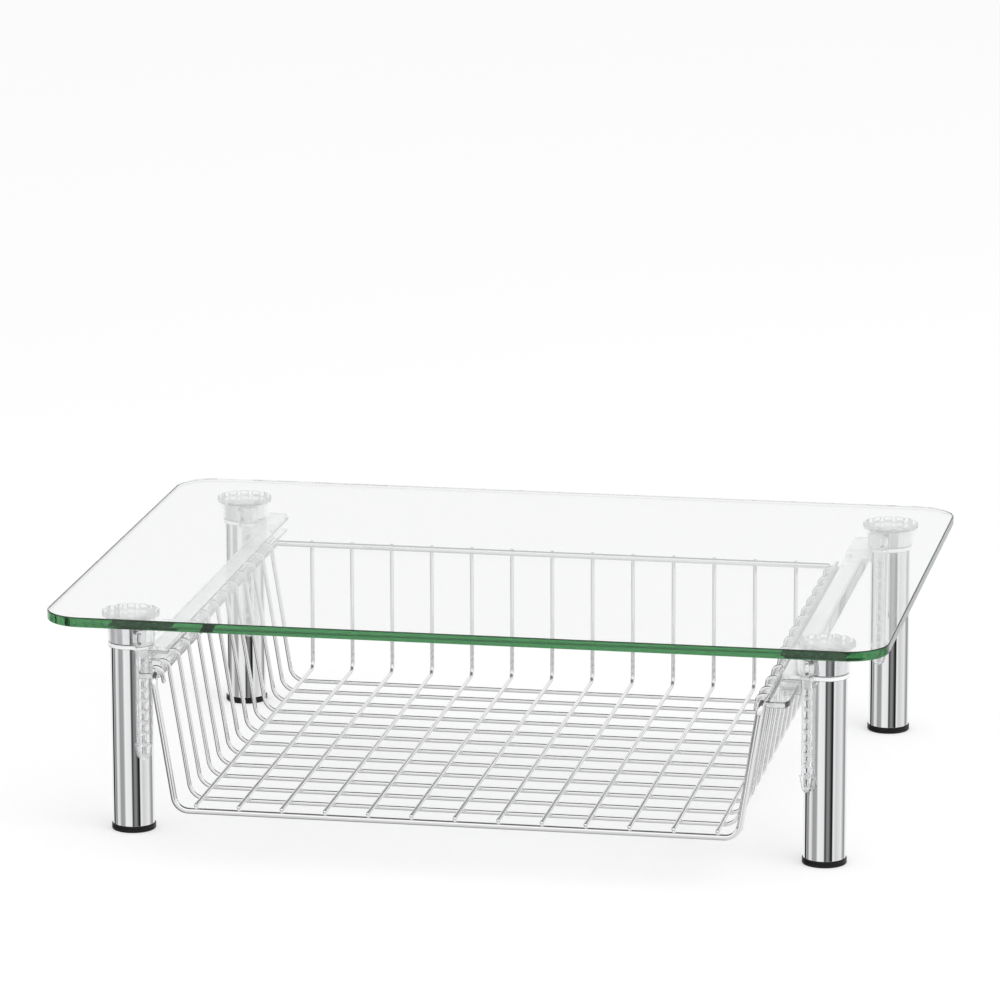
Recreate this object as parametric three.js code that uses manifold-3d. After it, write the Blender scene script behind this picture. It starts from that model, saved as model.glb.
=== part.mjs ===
// Glass monitor stand on four chrome legs, with a wire basket drawer that slides in clear side rails.
// Lengths are millimetres. X runs to the right, Y to the back and Z up. The stand rests on Z = 0.
// The pieces are placed from the middle of the four legs, and the last group moves the whole stand
// so that its origin is the middle of its footprint.
// The drawer rests pulled out by drawerPull, and slides along Y.

import * as THREE from 'three';
import { mergeVertices } from 'three/addons/utils/BufferGeometryUtils.js';
import Module from 'manifold-3d';

const wasm = await Module();
wasm.setup();

// Fits between neighbouring pieces
const clearance = 0.3;
const seatGap = 0.1;
const cutOverrun = 2;

// Glass top
const standHeight = 137;
const glassWidth = 508;
const glassDepth = 378;
const glassThickness = 6;
const glassCornerRadius = 25;
const glassEdgeRound = 1.2;
const glassShiftX = -5.8;
const glassShiftY = 6.4;

// Legs and feet
const legInsetX = 43.7;
const legInsetY = 36.25;
const tubeDiameter = 25.4;
const tubeWall = 1.2;
const footDiameter = 26.7;
const footHeight = 4.6;
const footChamfer = 0.8;
const footPlugLength = 14;
const footPlugTaper = 1.5;
const footRibRise = 0.2;
const footRibWidth = 1.6;
const footRibPitch = 4.5;
const footRibCount = 1;

// Clear cups that join the legs to the glass
const cupFlangeDiameter = 35;
const cupFlangeThickness = 3;
const cupFlangeRound = 0.6;
const cupTopDiameter = 30;
const cupSkirtWall = 0.9;
const cupWeb = 1.6;
const cupNotchDepth = 1;
const cupNotchCount = 14;

// Clear brackets that hang the rails from the legs
const bracketThickness = 2.5;
const bracketRingWall = 1.6;
const bracketPlateLength = 48;
const bracketPlateInset = 0.5;
const bracketPlateCorner = 2;
const bracketPlateOverlap = 2.6;
const bracketLugMargin = 1.4;
const bracketLugRoot = 6;

// Toothed straps that lock the brackets
const strapWidth = 7.4;
const strapThickness = 1.6;
const strapTailLength = 71;
const strapTailStandoff = 1.5;
const strapTailIntoHead = 1.2;
const strapTurnFront = THREE.MathUtils.degToRad(40);
const strapTurnRear = THREE.MathUtils.degToRad(20);
const strapWindowPitch = 6.85;
const strapWindowWidth = 3.2;
const strapWindowHeight = 4.8;
const strapLastWindow = 6;
const strapBarbReach = 1.6;
const strapBarbHeight = 5.7;
const strapHeadWidth = 12.8;
const strapHeadDepth = 3.8;
const strapHeadHeight = 10.8;
const strapHeadCorner = 2.4;
const strapSlotWidth = 2.8;
const strapSlotHeight = 7;
const strapSlotOffset = 4;

// Clear side rails
const railDrop = 17;
const railWidth = 12;
const railWall = 1.6;
const railLipInset = 0.7;
const railHeadroom = 2.2;
const railTubeGap = 0.6;
const railFrontOverhang = 11;
const railRearOverhang = 16.7;

// Clear runners that carry the basket in the rails
const runnerWidth = 11.2;
const runnerThickness = 3.6;
const runnerSidePlay = 0.3;
const runnerSetback = 15;
const runnerLedgeThickness = 1.5;
const runnerLedgeUnderhang = 1.7;
const runnerEndRound = 1;
const runnerNoseLength = 7;
const runnerNoseTaper = 2;

// Wire basket
const drawerPull = 55;
const basketDepth = 326;
const basketHeight = 81;
const rimStandoff = 2.9;
const wallLeanShare = 0.16;
const frameWireDiameter = 3.8;
const crossWireDiameter = 2.6;
const longWireDiameter = 2.6;
const rearWireDiameter = 3.8;
const frameBendRadius = 9;
const frameTopBendRadius = 7;
const crossBendRadius = 10;
const longBendRadius = 5.5;
const hookTail = 2.5;
const crossWirePitch = 25.3;
const crossWireCount = 12;
const longWireCount = 13;
const longWireOverhang = 1.2;
const rimTail = 6;
const rearWireRise = 1.9;
const stopSetback = 9;
const stopLength = 6;

// Numbers of facets
const roundFacets = 24;
const cornerFacets = 5;
const smallArcFacets = 3;
const glassEdgeFacets = 2;
const frameWireSides = 8;
const basketWireSides = 6;
const bendTurnPerRing = Math.PI / 8;

// Heights and places that follow from the sizes above
const glassUnderside = standHeight - glassThickness;
const tubeRadius = tubeDiameter / 2;
const legX = glassWidth / 2 - legInsetX;
const legY = glassDepth / 2 - legInsetY;
const tubeBottom = footHeight + seatGap;
const tubeTop = glassUnderside - seatGap - cupWeb - clearance;
const cupBoreRadius = tubeRadius + clearance;

const railTop = glassUnderside - railDrop;
const railOuter = legX - tubeRadius - railTubeGap;
const railInner = railOuter - railWidth;
const channelTop = railTop - railWall;
const lipTop = channelTop - railHeadroom - runnerThickness - clearance;
const lipBottom = lipTop - railWall;
const railFront = -legY - railFrontOverhang;
const railRear = legY + railRearOverhang;

const bracketBottom = railTop + seatGap;
const bracketTop = bracketBottom + bracketThickness;
const bracketBoreRadius = tubeRadius + clearance;
const bracketRingRadius = bracketBoreRadius + bracketRingWall;
const cupBottom = bracketTop + seatGap;
const strapHeadBack = cupTopDiameter / 2 + clearance;
const strapBack = tubeRadius + strapTailStandoff;
const strapHeadBottom = bracketTop + seatGap;

const runnerBottom = lipTop + clearance;
const runnerTop = runnerBottom + runnerThickness;
const runnerOuter = railOuter - railWall - runnerSidePlay;
const runnerInner = runnerOuter - runnerWidth;

const frameRadius = frameWireDiameter / 2;
const crossRadius = crossWireDiameter / 2;
const longRadius = longWireDiameter / 2;
const rearRadius = rearWireDiameter / 2;
const rimHalf = runnerInner - rimStandoff;
const rimHeight = runnerTop + clearance + frameRadius;
const frameFloor = rimHeight - basketHeight;
const longFloor = frameFloor + frameRadius + clearance + longRadius;
const crossFloor = longFloor - longRadius - clearance - crossRadius;
const basketFront = -basketDepth / 2 - drawerPull;
const basketRear = basketDepth / 2 - drawerPull;
const hookRadius = frameRadius + clearance + crossRadius;
const rearWireY = basketRear - longRadius - clearance - rearRadius;
const rimRear = basketRear + rimTail;
const runnerFront = basketFront + runnerSetback;

const glassRear = glassShiftY + glassDepth / 2;
const frontReach = Math.min(basketFront - frameRadius, runnerFront, glassShiftY - glassDepth / 2);

// Materials

function clearPlastic(name) {
  const material = new THREE.MeshStandardMaterial({ name, color: 0xe9eded, roughness: 0.12, metalness: 0 });
  material.transparent = true;
  material.opacity = 0.45;
  return material;
}

function greenGlass() {
  const material = new THREE.MeshStandardMaterial({ name: 'glass', color: 0xcfe8d9, roughness: 0.03, metalness: 0 });
  material.transparent = true;
  material.opacity = 0.35;
  return material;
}

function chromedSteel() {
  return new THREE.MeshStandardMaterial({ name: 'chrome', color: 0xdfe1e3, roughness: 0.08, metalness: 1 });
}

function blackRubber() {
  return new THREE.MeshStandardMaterial({ name: 'rubber', color: 0x1b1b1c, roughness: 0.75, metalness: 0 });
}

function whiteWire() {
  return new THREE.MeshStandardMaterial({ name: 'basket_wire', color: 0xdcdcdd, roughness: 0.3, metalness: 0.35 });
}

// Solids: joining and cutting

function solidOf(geometry) {
  const bare = geometry.index ? geometry.clone() : geometry;
  bare.deleteAttribute('normal');
  bare.deleteAttribute('uv');
  const merged = mergeVertices(bare);
  const vertProperties = new Float32Array(merged.attributes.position.array);
  const triVerts = new Uint32Array(merged.index.array);
  return new wasm.Manifold(new wasm.Mesh({ numProp: 3, vertProperties, triVerts }));
}

function geometryOf(solid) {
  const mesh = solid.getMesh();
  const geometry = new THREE.BufferGeometry();
  geometry.setAttribute('position', new THREE.BufferAttribute(new Float32Array(mesh.vertProperties), 3));
  geometry.setIndex(new THREE.BufferAttribute(new Uint32Array(mesh.triVerts), 1));
  const faceted = geometry.toNonIndexed();
  faceted.computeVertexNormals();
  return faceted;
}

// Shapes

function roundedRectangle(left, right, low, high, radius) {
  const shape = new THREE.Shape();
  shape.moveTo(left + radius, low);
  shape.lineTo(right - radius, low);
  shape.absarc(right - radius, low + radius, radius, -Math.PI / 2, 0, false);
  shape.lineTo(right, high - radius);
  shape.absarc(right - radius, high - radius, radius, 0, Math.PI / 2, false);
  shape.lineTo(left + radius, high);
  shape.absarc(left + radius, high - radius, radius, Math.PI / 2, Math.PI, false);
  shape.lineTo(left, low + radius);
  shape.absarc(left + radius, low + radius, radius, Math.PI, Math.PI * 1.5, false);
  return shape;
}

function polygon(points) {
  return new THREE.Shape(points.map(([x, y]) => new THREE.Vector2(x, y)));
}

function circlePoints(radius, count) {
  return Array.from({ length: count }, (unused, n) => {
    const turn = (2 * Math.PI * n) / count;
    return [radius * Math.cos(turn), radius * Math.sin(turn)];
  });
}

// A flat plate: the outline lies in X and Y, and the plate stands from low to high
function plate(shape, low, high, curveSegments = cornerFacets) {
  const geometry = new THREE.ExtrudeGeometry(shape, { depth: high - low, bevelEnabled: false, curveSegments });
  return geometry.translate(0, 0, low);
}

// A bar along Y: the outline is drawn across X and Z
function barAlongY(shape, front, rear, curveSegments = cornerFacets) {
  const geometry = new THREE.ExtrudeGeometry(shape, { depth: rear - front, bevelEnabled: false, curveSegments });
  return geometry.rotateX(Math.PI / 2).translate(0, rear, 0);
}

function revolved(profile) {
  const points = profile.map(([radius, height]) => new THREE.Vector2(radius, height));
  return new THREE.LatheGeometry(points, roundFacets).rotateX(Math.PI / 2);
}

// The centre line of a wire that runs straight between corners and turns each corner on an arc.
// It is known only at its stations, the two ends and the rings of each bend.
class BentLine extends THREE.Curve {
  constructor(corners, bendRadii) {
    super();
    this.places = [corners[0].clone()];
    const first = corners[1].clone().sub(corners[0]).normalize();
    this.headings = [first];
    for (let n = 1; n < corners.length - 1; n += 1) {
      this.addBend(corners[n - 1], corners[n], corners[n + 1], bendRadii[n - 1]);
    }
    const last = corners[corners.length - 1];
    this.places.push(last.clone());
    this.headings.push(last.clone().sub(corners[corners.length - 2]).normalize());
  }

  addBend(before, corner, after, radius) {
    const heading = corner.clone().sub(before).normalize();
    const leaving = after.clone().sub(corner).normalize();
    const turn = heading.angleTo(leaving);
    const inward = leaving.clone().addScaledVector(heading, -Math.cos(turn)).normalize();
    const start = corner.clone().addScaledVector(heading, -radius * Math.tan(turn / 2));
    const rings = Math.ceil(turn / bendTurnPerRing);
    for (let n = 0; n <= rings; n += 1) {
      const angle = (turn * n) / rings;
      const place = start.clone().addScaledVector(heading, radius * Math.sin(angle));
      place.addScaledVector(inward, radius * (1 - Math.cos(angle)));
      this.places.push(place);
      const tangent = heading.clone().multiplyScalar(Math.cos(angle));
      this.headings.push(tangent.addScaledVector(inward, Math.sin(angle)));
    }
  }

  get segments() {
    return this.places.length - 1;
  }

  getPoint(share, target = new THREE.Vector3()) {
    return target.copy(this.places[Math.round(share * this.segments)]);
  }

  getPointAt(share, target) {
    return this.getPoint(share, target);
  }

  getTangent(share, target = new THREE.Vector3()) {
    return target.copy(this.headings[Math.round(share * this.segments)]);
  }

  getTangentAt(share, target) {
    return this.getTangent(share, target);
  }
}

function bentWire(corners, bendRadii, radius, sides) {
  const line = new BentLine(corners, bendRadii);
  const section = polygon(circlePoints(radius, sides));
  return new THREE.ExtrudeGeometry(section, { steps: line.segments, bevelEnabled: false, extrudePath: line });
}

function at(x, y, z) {
  return new THREE.Vector3(x, y, z);
}

const group = new THREE.Group();
group.name = 'monitor_stand_with_drawer';

function addPiece(name, geometry, material) {
  const mesh = new THREE.Mesh(geometry, material);
  mesh.name = name;
  group.add(mesh);
  return mesh;
}

// Glass top: a rounded sheet with a rounded polished edge
function glassTop() {
  const outline = roundedRectangle(
    -glassWidth / 2 + glassEdgeRound, glassWidth / 2 - glassEdgeRound,
    -glassDepth / 2 + glassEdgeRound, glassDepth / 2 - glassEdgeRound, glassCornerRadius - glassEdgeRound,
  );
  const geometry = new THREE.ExtrudeGeometry(outline, {
    depth: glassThickness - 2 * glassEdgeRound,
    bevelEnabled: true,
    bevelThickness: glassEdgeRound,
    bevelSize: glassEdgeRound,
    bevelSegments: glassEdgeFacets,
    curveSegments: cornerFacets,
  });
  return geometry.translate(glassShiftX, glassShiftY, glassUnderside + glassEdgeRound);
}

// Leg tube: hollow, from the foot cap up into the cup
function legTube() {
  const bore = tubeRadius - tubeWall;
  return revolved([
    [bore, tubeBottom], [tubeRadius, tubeBottom], [tubeRadius, tubeTop], [bore, tubeTop], [bore, tubeBottom],
  ]);
}

// Foot cap: a round pad under the tube with a ribbed plug that grips its bore
function footCap() {
  const padRadius = footDiameter / 2;
  const plugRadius = tubeRadius - tubeWall - clearance - footRibRise;
  const profile = [
    [0, 0],
    [padRadius - footChamfer, 0],
    [padRadius, footChamfer],
    [padRadius, footHeight],
    [plugRadius, footHeight],
  ];
  for (let n = 1; n <= footRibCount; n += 1) {
    const ribHeight = footHeight + n * footRibPitch;
    profile.push([plugRadius, ribHeight - footRibWidth / 2]);
    profile.push([plugRadius + footRibRise, ribHeight]);
    profile.push([plugRadius, ribHeight + footRibWidth / 2]);
  }
  profile.push([plugRadius - footPlugTaper, footHeight + footPlugLength]);
  profile.push([0, footHeight + footPlugLength]);
  return revolved(profile);
}

// Cup: a tapered skirt over the tube top, a web above it and a notched flange under the glass
function legCup() {
  const top = glassUnderside - seatGap;
  const flangeBottom = top - cupFlangeThickness;
  const flangeRadius = cupFlangeDiameter / 2;
  const skirt = solidOf(revolved([
    [0, cupBottom],
    [cupBoreRadius + cupSkirtWall, cupBottom],
    [cupTopDiameter / 2, flangeBottom],
    [flangeRadius - cupNotchDepth - cupFlangeRound, flangeBottom],
    [flangeRadius - cupNotchDepth - cupFlangeRound, top],
    [0, top],
  ]));
  const notches = 4 * cupNotchCount;
  const edge = Array.from({ length: notches }, (unused, n) => {
    const turn = (2 * Math.PI * n) / notches;
    const reach = n % 4 < 2 ? flangeRadius : flangeRadius - cupNotchDepth;
    return [reach * Math.cos(turn), reach * Math.sin(turn)];
  });
  const rim = solidOf(plate(polygon(edge), flangeBottom, top));
  const bore = solidOf(plate(polygon(circlePoints(cupBoreRadius, roundFacets)), cupBottom - cutOverrun, top - cupWeb));
  return geometryOf(skirt.add(rim).subtract(bore));
}

// Bracket, drawn for the front right leg: a ring round the tube, a plate on the rail and a strap lug.
// toRear is 1 where the plate runs back from the leg, and -1 where it runs forward.
function legBracket(toRear, strapTurn) {
  const ring = solidOf(plate(polygon(circlePoints(bracketRingRadius, roundFacets)), bracketBottom, bracketTop));
  const plateInner = railInner + bracketPlateInset - legX;
  const plateOuter = railOuter - legX + bracketPlateOverlap;
  const endOverhang = toRear > 0 ? railFrontOverhang : railRearOverhang;
  const near = -toRear * endOverhang;
  const far = near + toRear * bracketPlateLength;
  const railPlate = solidOf(plate(roundedRectangle(
    plateInner, plateOuter, Math.min(near, far), Math.max(near, far), bracketPlateCorner,
  ), bracketBottom, bracketTop));
  const slotHalf = strapWidth / 2 + clearance;
  const slotRear = -strapBack + clearance;
  const slotFront = -strapBack - strapThickness - clearance;
  const lug = solidOf(plate(roundedRectangle(
    -slotHalf - bracketLugMargin, slotHalf + bracketLugMargin,
    slotFront - bracketLugMargin, -bracketLugRoot, bracketPlateCorner,
  ), bracketBottom, bracketTop).rotateZ(-strapTurn));
  const bore = solidOf(plate(
    polygon(circlePoints(bracketBoreRadius, roundFacets)), bracketBottom - cutOverrun, bracketTop + cutOverrun,
  ));
  const slot = solidOf(plate(polygon([
    [-slotHalf, slotFront], [slotHalf, slotFront], [slotHalf, slotRear], [-slotHalf, slotRear],
  ]), bracketBottom - cutOverrun, bracketTop + cutOverrun).rotateZ(-strapTurn));
  return ring.add(railPlate).add(lug).subtract(bore).subtract(slot);
}

// Strap, drawn for a right leg: a head that stands on the bracket and a windowed tail that hangs through it.
// It faces the front and is then turned to the inside.
function toothedStrap(strapTurn) {
  const half = strapWidth / 2;
  const tailTop = strapHeadBottom + strapTailIntoHead;
  const tip = strapHeadBottom - strapTailLength;
  const barb = tip + half;
  const outline = new THREE.Shape();
  outline.moveTo(half, tailTop);
  outline.lineTo(-half, tailTop);
  outline.lineTo(-half, barb + strapBarbHeight);
  outline.lineTo(-half - strapBarbReach, barb + strapBarbHeight);
  outline.lineTo(-half, barb);
  outline.absarc(0, tip + half, half, Math.PI, 2 * Math.PI, false);
  outline.lineTo(half + strapBarbReach, barb + strapBarbHeight);
  outline.lineTo(half, barb + strapBarbHeight);
  const windowRun = strapHeadBottom - bracketThickness - seatGap - tip - strapLastWindow - strapWindowHeight / 2;
  const windowCount = 1 + Math.max(0, Math.floor(windowRun / strapWindowPitch));
  for (let n = 0; n < windowCount; n += 1) {
    const middle = tip + strapLastWindow + n * strapWindowPitch;
    outline.holes.push(new THREE.Path([
      new THREE.Vector2(-strapWindowWidth / 2, middle - strapWindowHeight / 2),
      new THREE.Vector2(strapWindowWidth / 2, middle - strapWindowHeight / 2),
      new THREE.Vector2(strapWindowWidth / 2, middle + strapWindowHeight / 2),
      new THREE.Vector2(-strapWindowWidth / 2, middle + strapWindowHeight / 2),
    ]));
  }
  const tail = solidOf(barAlongY(outline, -strapBack - strapThickness, -strapBack));
  const headOutline = roundedRectangle(
    -strapHeadWidth / 2, strapHeadWidth / 2, strapHeadBottom, strapHeadBottom + strapHeadHeight, strapHeadCorner,
  );
  const slotMiddle = strapHeadBottom + strapHeadHeight / 2;
  headOutline.holes.push(roundedRectangle(
    strapSlotOffset - strapSlotWidth / 2, strapSlotOffset + strapSlotWidth / 2,
    slotMiddle - strapSlotHeight / 2, slotMiddle + strapSlotHeight / 2, strapSlotWidth / 2,
  ));
  const head = solidOf(barAlongY(
    headOutline, -strapHeadBack - strapHeadDepth, -strapHeadBack, smallArcFacets,
  ));
  return geometryOf(tail.add(head)).rotateZ(-strapTurn);
}

// Side rail, drawn for the right: a channel open to the inside
function sideRail() {
  const section = polygon([
    [railInner, channelTop],
    [railOuter - railWall, channelTop],
    [railOuter - railWall, lipTop],
    [railInner + railLipInset, lipTop],
    [railInner + railLipInset, lipBottom],
    [railOuter, lipBottom],
    [railOuter, railTop],
    [railInner, railTop],
  ]);
  return barAlongY(section, railFront, railRear);
}

// Runner, drawn for the right: a strip in the channel with a ledge under the rim of the basket.
// Its nose, in front of the rail, narrows on the outer side.
function runnerStrip() {
  const ledgeInner = rimHalf - runnerLedgeUnderhang;
  const section = polygon([
    [ledgeInner, runnerTop - runnerLedgeThickness],
    [runnerInner, runnerBottom],
    [runnerOuter - runnerEndRound, runnerBottom],
    [runnerOuter, runnerBottom + runnerEndRound],
    [runnerOuter, runnerTop - runnerEndRound],
    [runnerOuter - runnerEndRound, runnerTop],
    [ledgeInner, runnerTop],
  ]);
  const strip = solidOf(barAlongY(section, runnerFront, rimRear));
  const corner = solidOf(plate(polygon([
    [runnerOuter - runnerNoseTaper, runnerFront - cutOverrun],
    [runnerOuter + cutOverrun, runnerFront - cutOverrun],
    [runnerOuter + cutOverrun, runnerFront + runnerNoseLength],
    [runnerOuter, runnerFront + runnerNoseLength],
    [runnerOuter - runnerNoseTaper, runnerFront],
  ]), runnerBottom - cutOverrun, runnerTop + cutOverrun));
  return geometryOf(strip.subtract(corner));
}

// Frame wire: one thick wire, bent down the front of the basket and back along both rims
function frameWire() {
  const baseHalf = rimHalf - basketHeight * wallLeanShare;
  return bentWire([
    at(-rimHalf, rimRear, rimHeight),
    at(-rimHalf, basketFront, rimHeight),
    at(-baseHalf, basketFront, frameFloor),
    at(baseHalf, basketFront, frameFloor),
    at(rimHalf, basketFront, rimHeight),
    at(rimHalf, rimRear, rimHeight),
  ], [frameTopBendRadius, frameBendRadius, frameBendRadius, frameTopBendRadius], frameRadius, frameWireSides);
}

// The side wall's line: how far out it lies at a height, when it passes inside the rim at the hook's distance
function wallReach(height) {
  const slant = Math.hypot(1, wallLeanShare);
  const touchReach = rimHalf - hookRadius / slant;
  const touchHeight = rimHeight + (hookRadius * wallLeanShare) / slant;
  return touchReach + (height - touchHeight) * wallLeanShare;
}

// Cross wire: hooked over one rim, down the wall, across the floor and up to the other rim
function crossWire(y) {
  const hookHeight = rimHeight + hookRadius;
  const tip = rimHalf + hookTail;
  const top = wallReach(hookHeight);
  const base = wallReach(crossFloor);
  return bentWire([
    at(-tip, y, hookHeight),
    at(-top, y, hookHeight),
    at(-base, y, crossFloor),
    at(base, y, crossFloor),
    at(top, y, hookHeight),
    at(tip, y, hookHeight),
  ], [hookRadius, crossBendRadius, crossBendRadius, hookRadius], crossRadius, basketWireSides);
}

// How far out the floor is flat, where the outermost long wires lie
function flatFloorHalf() {
  const turn = Math.PI / 2 - Math.atan(wallLeanShare);
  return wallReach(crossFloor) - crossBendRadius * Math.tan(turn / 2);
}

// Long wire: back along the floor on top of the cross wires, and up the rear wall
function longWire(x) {
  return bentWire([
    at(x, basketFront - longWireOverhang, longFloor),
    at(x, basketRear, longFloor),
    at(x, basketRear, rimHeight + rearWireRise),
  ], [longBendRadius], longRadius, basketWireSides);
}

// Rear wire: straight along the top of the rear wall, between the rims
function rearWire() {
  const end = rimHalf - frameRadius - clearance;
  return bentWire([at(-end, rearWireY, rimHeight), at(end, rearWireY, rimHeight)], [], rearRadius, frameWireSides);
}

// Stop hook: a short wire bent over a rim near the front. side is 1 on the right and -1 on the left.
function stopHook(side) {
  const hookHeight = rimHeight + hookRadius;
  const foot = rimHeight - stopLength;
  const y = basketFront + stopSetback;
  return bentWire([
    at(side * (rimHalf + hookTail), y, hookHeight),
    at(side * wallReach(hookHeight), y, hookHeight),
    at(side * wallReach(foot), y, foot),
  ], [hookRadius], crossRadius, basketWireSides);
}

// Assembly of the stand

// The other hand of a piece that is drawn for the right: mirrored, with each triangle wound the other way
function otherHand(geometry) {
  const mirrored = (geometry.index ? geometry.toNonIndexed() : geometry.clone()).scale(-1, 1, 1);
  const place = mirrored.attributes.position;
  const corner = new THREE.Vector3();
  const next = new THREE.Vector3();
  for (let n = 0; n < place.count; n += 3) {
    corner.fromBufferAttribute(place, n + 1);
    next.fromBufferAttribute(place, n + 2);
    place.setXYZ(n + 1, next.x, next.y, next.z);
    place.setXYZ(n + 2, corner.x, corner.y, corner.z);
  }
  mirrored.computeVertexNormals();
  return mirrored;
}

addPiece('glass_top', glassTop(), greenGlass());

for (const rowSide of [-1, 1]) {
  const row = rowSide < 0 ? 'front' : 'rear';
  for (const side of [-1, 1]) {
    const corner = `${row}_${side < 0 ? 'left' : 'right'}`;
    const placeAtLeg = (mesh) => mesh.position.set(side * legX, rowSide * legY, 0);
    const strapTurn = rowSide < 0 ? strapTurnFront : strapTurnRear;
    const bracket = geometryOf(legBracket(-rowSide, strapTurn));
    const strap = toothedStrap(strapTurn);
    placeAtLeg(addPiece(`leg_tube_${corner}`, legTube(), chromedSteel()));
    placeAtLeg(addPiece(`foot_cap_${corner}`, footCap(), blackRubber()));
    placeAtLeg(addPiece(`leg_cup_${corner}`, legCup(), clearPlastic('leg_cup')));
    placeAtLeg(addPiece(`leg_bracket_${corner}`, side < 0 ? otherHand(bracket) : bracket, clearPlastic('bracket')));
    placeAtLeg(addPiece(`toothed_strap_${corner}`, side < 0 ? otherHand(strap) : strap, clearPlastic('strap')));
  }
}

addPiece('side_rail_left', otherHand(sideRail()), clearPlastic('rail'));
addPiece('side_rail_right', sideRail(), clearPlastic('rail'));

// Assembly of the basket drawer

addPiece('runner_left', otherHand(runnerStrip()), clearPlastic('runner'));
addPiece('runner_right', runnerStrip(), clearPlastic('runner'));
addPiece('basket_frame_wire', frameWire(), whiteWire());
addPiece('basket_rear_wire', rearWire(), whiteWire());
addPiece('stop_hook_left', stopHook(-1), whiteWire());
addPiece('stop_hook_right', stopHook(1), whiteWire());

for (let n = 1; n <= crossWireCount; n += 1) {
  const name = `cross_wire_${String(n).padStart(2, '0')}`;
  addPiece(name, crossWire(basketFront + n * crossWirePitch), whiteWire());
}

const longWireReach = flatFloorHalf();
for (let n = 1; n <= longWireCount; n += 1) {
  const name = `long_wire_${String(n).padStart(2, '0')}`;
  const share = (n - 1) / (longWireCount - 1);
  addPiece(name, longWire(-longWireReach + 2 * longWireReach * share), whiteWire());
}

// The origin goes to the middle of the footprint
group.position.set(-glassShiftX, -(glassRear + frontReach) / 2, 0);

export default group;
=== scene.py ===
import math

import bmesh
import bpy
from mathutils import Matrix, Vector
from mathutils.geometry import delaunay_2d_cdt


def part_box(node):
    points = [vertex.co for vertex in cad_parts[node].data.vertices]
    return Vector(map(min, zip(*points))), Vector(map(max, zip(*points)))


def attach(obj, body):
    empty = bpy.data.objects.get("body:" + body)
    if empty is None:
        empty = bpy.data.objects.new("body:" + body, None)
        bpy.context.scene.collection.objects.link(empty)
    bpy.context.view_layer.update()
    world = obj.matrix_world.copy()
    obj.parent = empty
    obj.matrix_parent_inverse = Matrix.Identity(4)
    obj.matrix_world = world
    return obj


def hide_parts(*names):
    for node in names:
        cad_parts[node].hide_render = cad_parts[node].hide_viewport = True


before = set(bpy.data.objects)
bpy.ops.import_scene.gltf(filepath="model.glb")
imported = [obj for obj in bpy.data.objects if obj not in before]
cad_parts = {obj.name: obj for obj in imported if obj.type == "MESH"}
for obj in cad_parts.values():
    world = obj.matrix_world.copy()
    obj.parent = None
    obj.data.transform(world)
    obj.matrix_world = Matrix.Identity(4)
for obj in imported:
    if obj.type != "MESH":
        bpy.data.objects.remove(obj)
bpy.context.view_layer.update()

bl_info = {
    "name": "Glass stand with wire drawer",
    "version": (1, 0, 0),
    "blender": (4, 5, 0),
    "location": "3D View > Sidebar > Glass stand",
    "description": "Makes a glass stand on chrome legs with clear fittings and a sliding wire basket",
    "category": "Object",
}

# Lengths are metres, X runs to the right, Y to the back and Z up
MM = 0.001
CORNERS = ("front_left", "front_right", "rear_left", "rear_right")


def box_of(node):
    low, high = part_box(node)
    return Vector(low), Vector(high)


def middle_of(node):
    low, high = box_of(node)
    return (low + high) / 2


GLASS_LOW, GLASS_HIGH = box_of("glass_top")
GLASS_MIDDLE = middle_of("glass_top")
LEG_PLACE = {corner: middle_of("leg_tube_" + corner) for corner in CORNERS}
RAIL_LOW, RAIL_HIGH = box_of("side_rail_right")
RUNNER_LOW, RUNNER_HIGH = box_of("runner_right")
STRAP_LOW, STRAP_HIGH = box_of("toothed_strap_front_right")
BRACKET_LOW, BRACKET_HIGH = box_of("leg_bracket_front_right")
CUP_LOW, CUP_HIGH = box_of("leg_cup_front_right")
TUBE_TOP = box_of("leg_tube_front_right")[1].z
FOOT_TOP = box_of("foot_cap_front_right")[1].z
FRAME_LOW, FRAME_HIGH = box_of("basket_frame_wire")
CROSS_LOW, CROSS_HIGH = box_of("cross_wire_01")
LONG_LOW = box_of("long_wire_01")[0]
REAR_WIRE = middle_of("basket_rear_wire")
STOP_LOW, STOP_HIGH = box_of("stop_hook_right")
STOP_Y = (STOP_LOW.y + STOP_HIGH.y) / 2
MIDDLE_X = (LEG_PLACE["front_left"].x + LEG_PLACE["front_right"].x) / 2
WHITE = (1.0, 1.0, 1.0)
TUBE_STEPS, RING_STEPS, CUP_STEPS = 128, 96, 280  # faces round a full turn
THICK_SIDES, THIN_SIDES = 20, 16  # faces round a wire


# Settings that a user may change

def length(label, millimetres, about):
    return bpy.props.FloatProperty(
        name=label, description=about, default=millimetres * MM, min=0.0,
        subtype="DISTANCE", unit="LENGTH", precision=5,
    )


def share(label, value, about):
    return bpy.props.FloatProperty(
        name=label, description=about, default=value, min=0.0, max=1.0, subtype="FACTOR",
    )


def amount(label, value, about):
    return bpy.props.FloatProperty(name=label, description=about, default=value, min=0.0)


def whole(label, value, about):
    return bpy.props.IntProperty(name=label, description=about, default=value, min=1)


def turn(label, degrees, about):
    return bpy.props.FloatProperty(
        name=label, description=about, default=math.radians(degrees), subtype="ANGLE", unit="ROTATION",
    )


def colour(label, value, about):
    return bpy.props.FloatVectorProperty(
        name=label, description=about, default=value, size=3, min=0.0, max=1.0, subtype="COLOR",
    )


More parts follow.
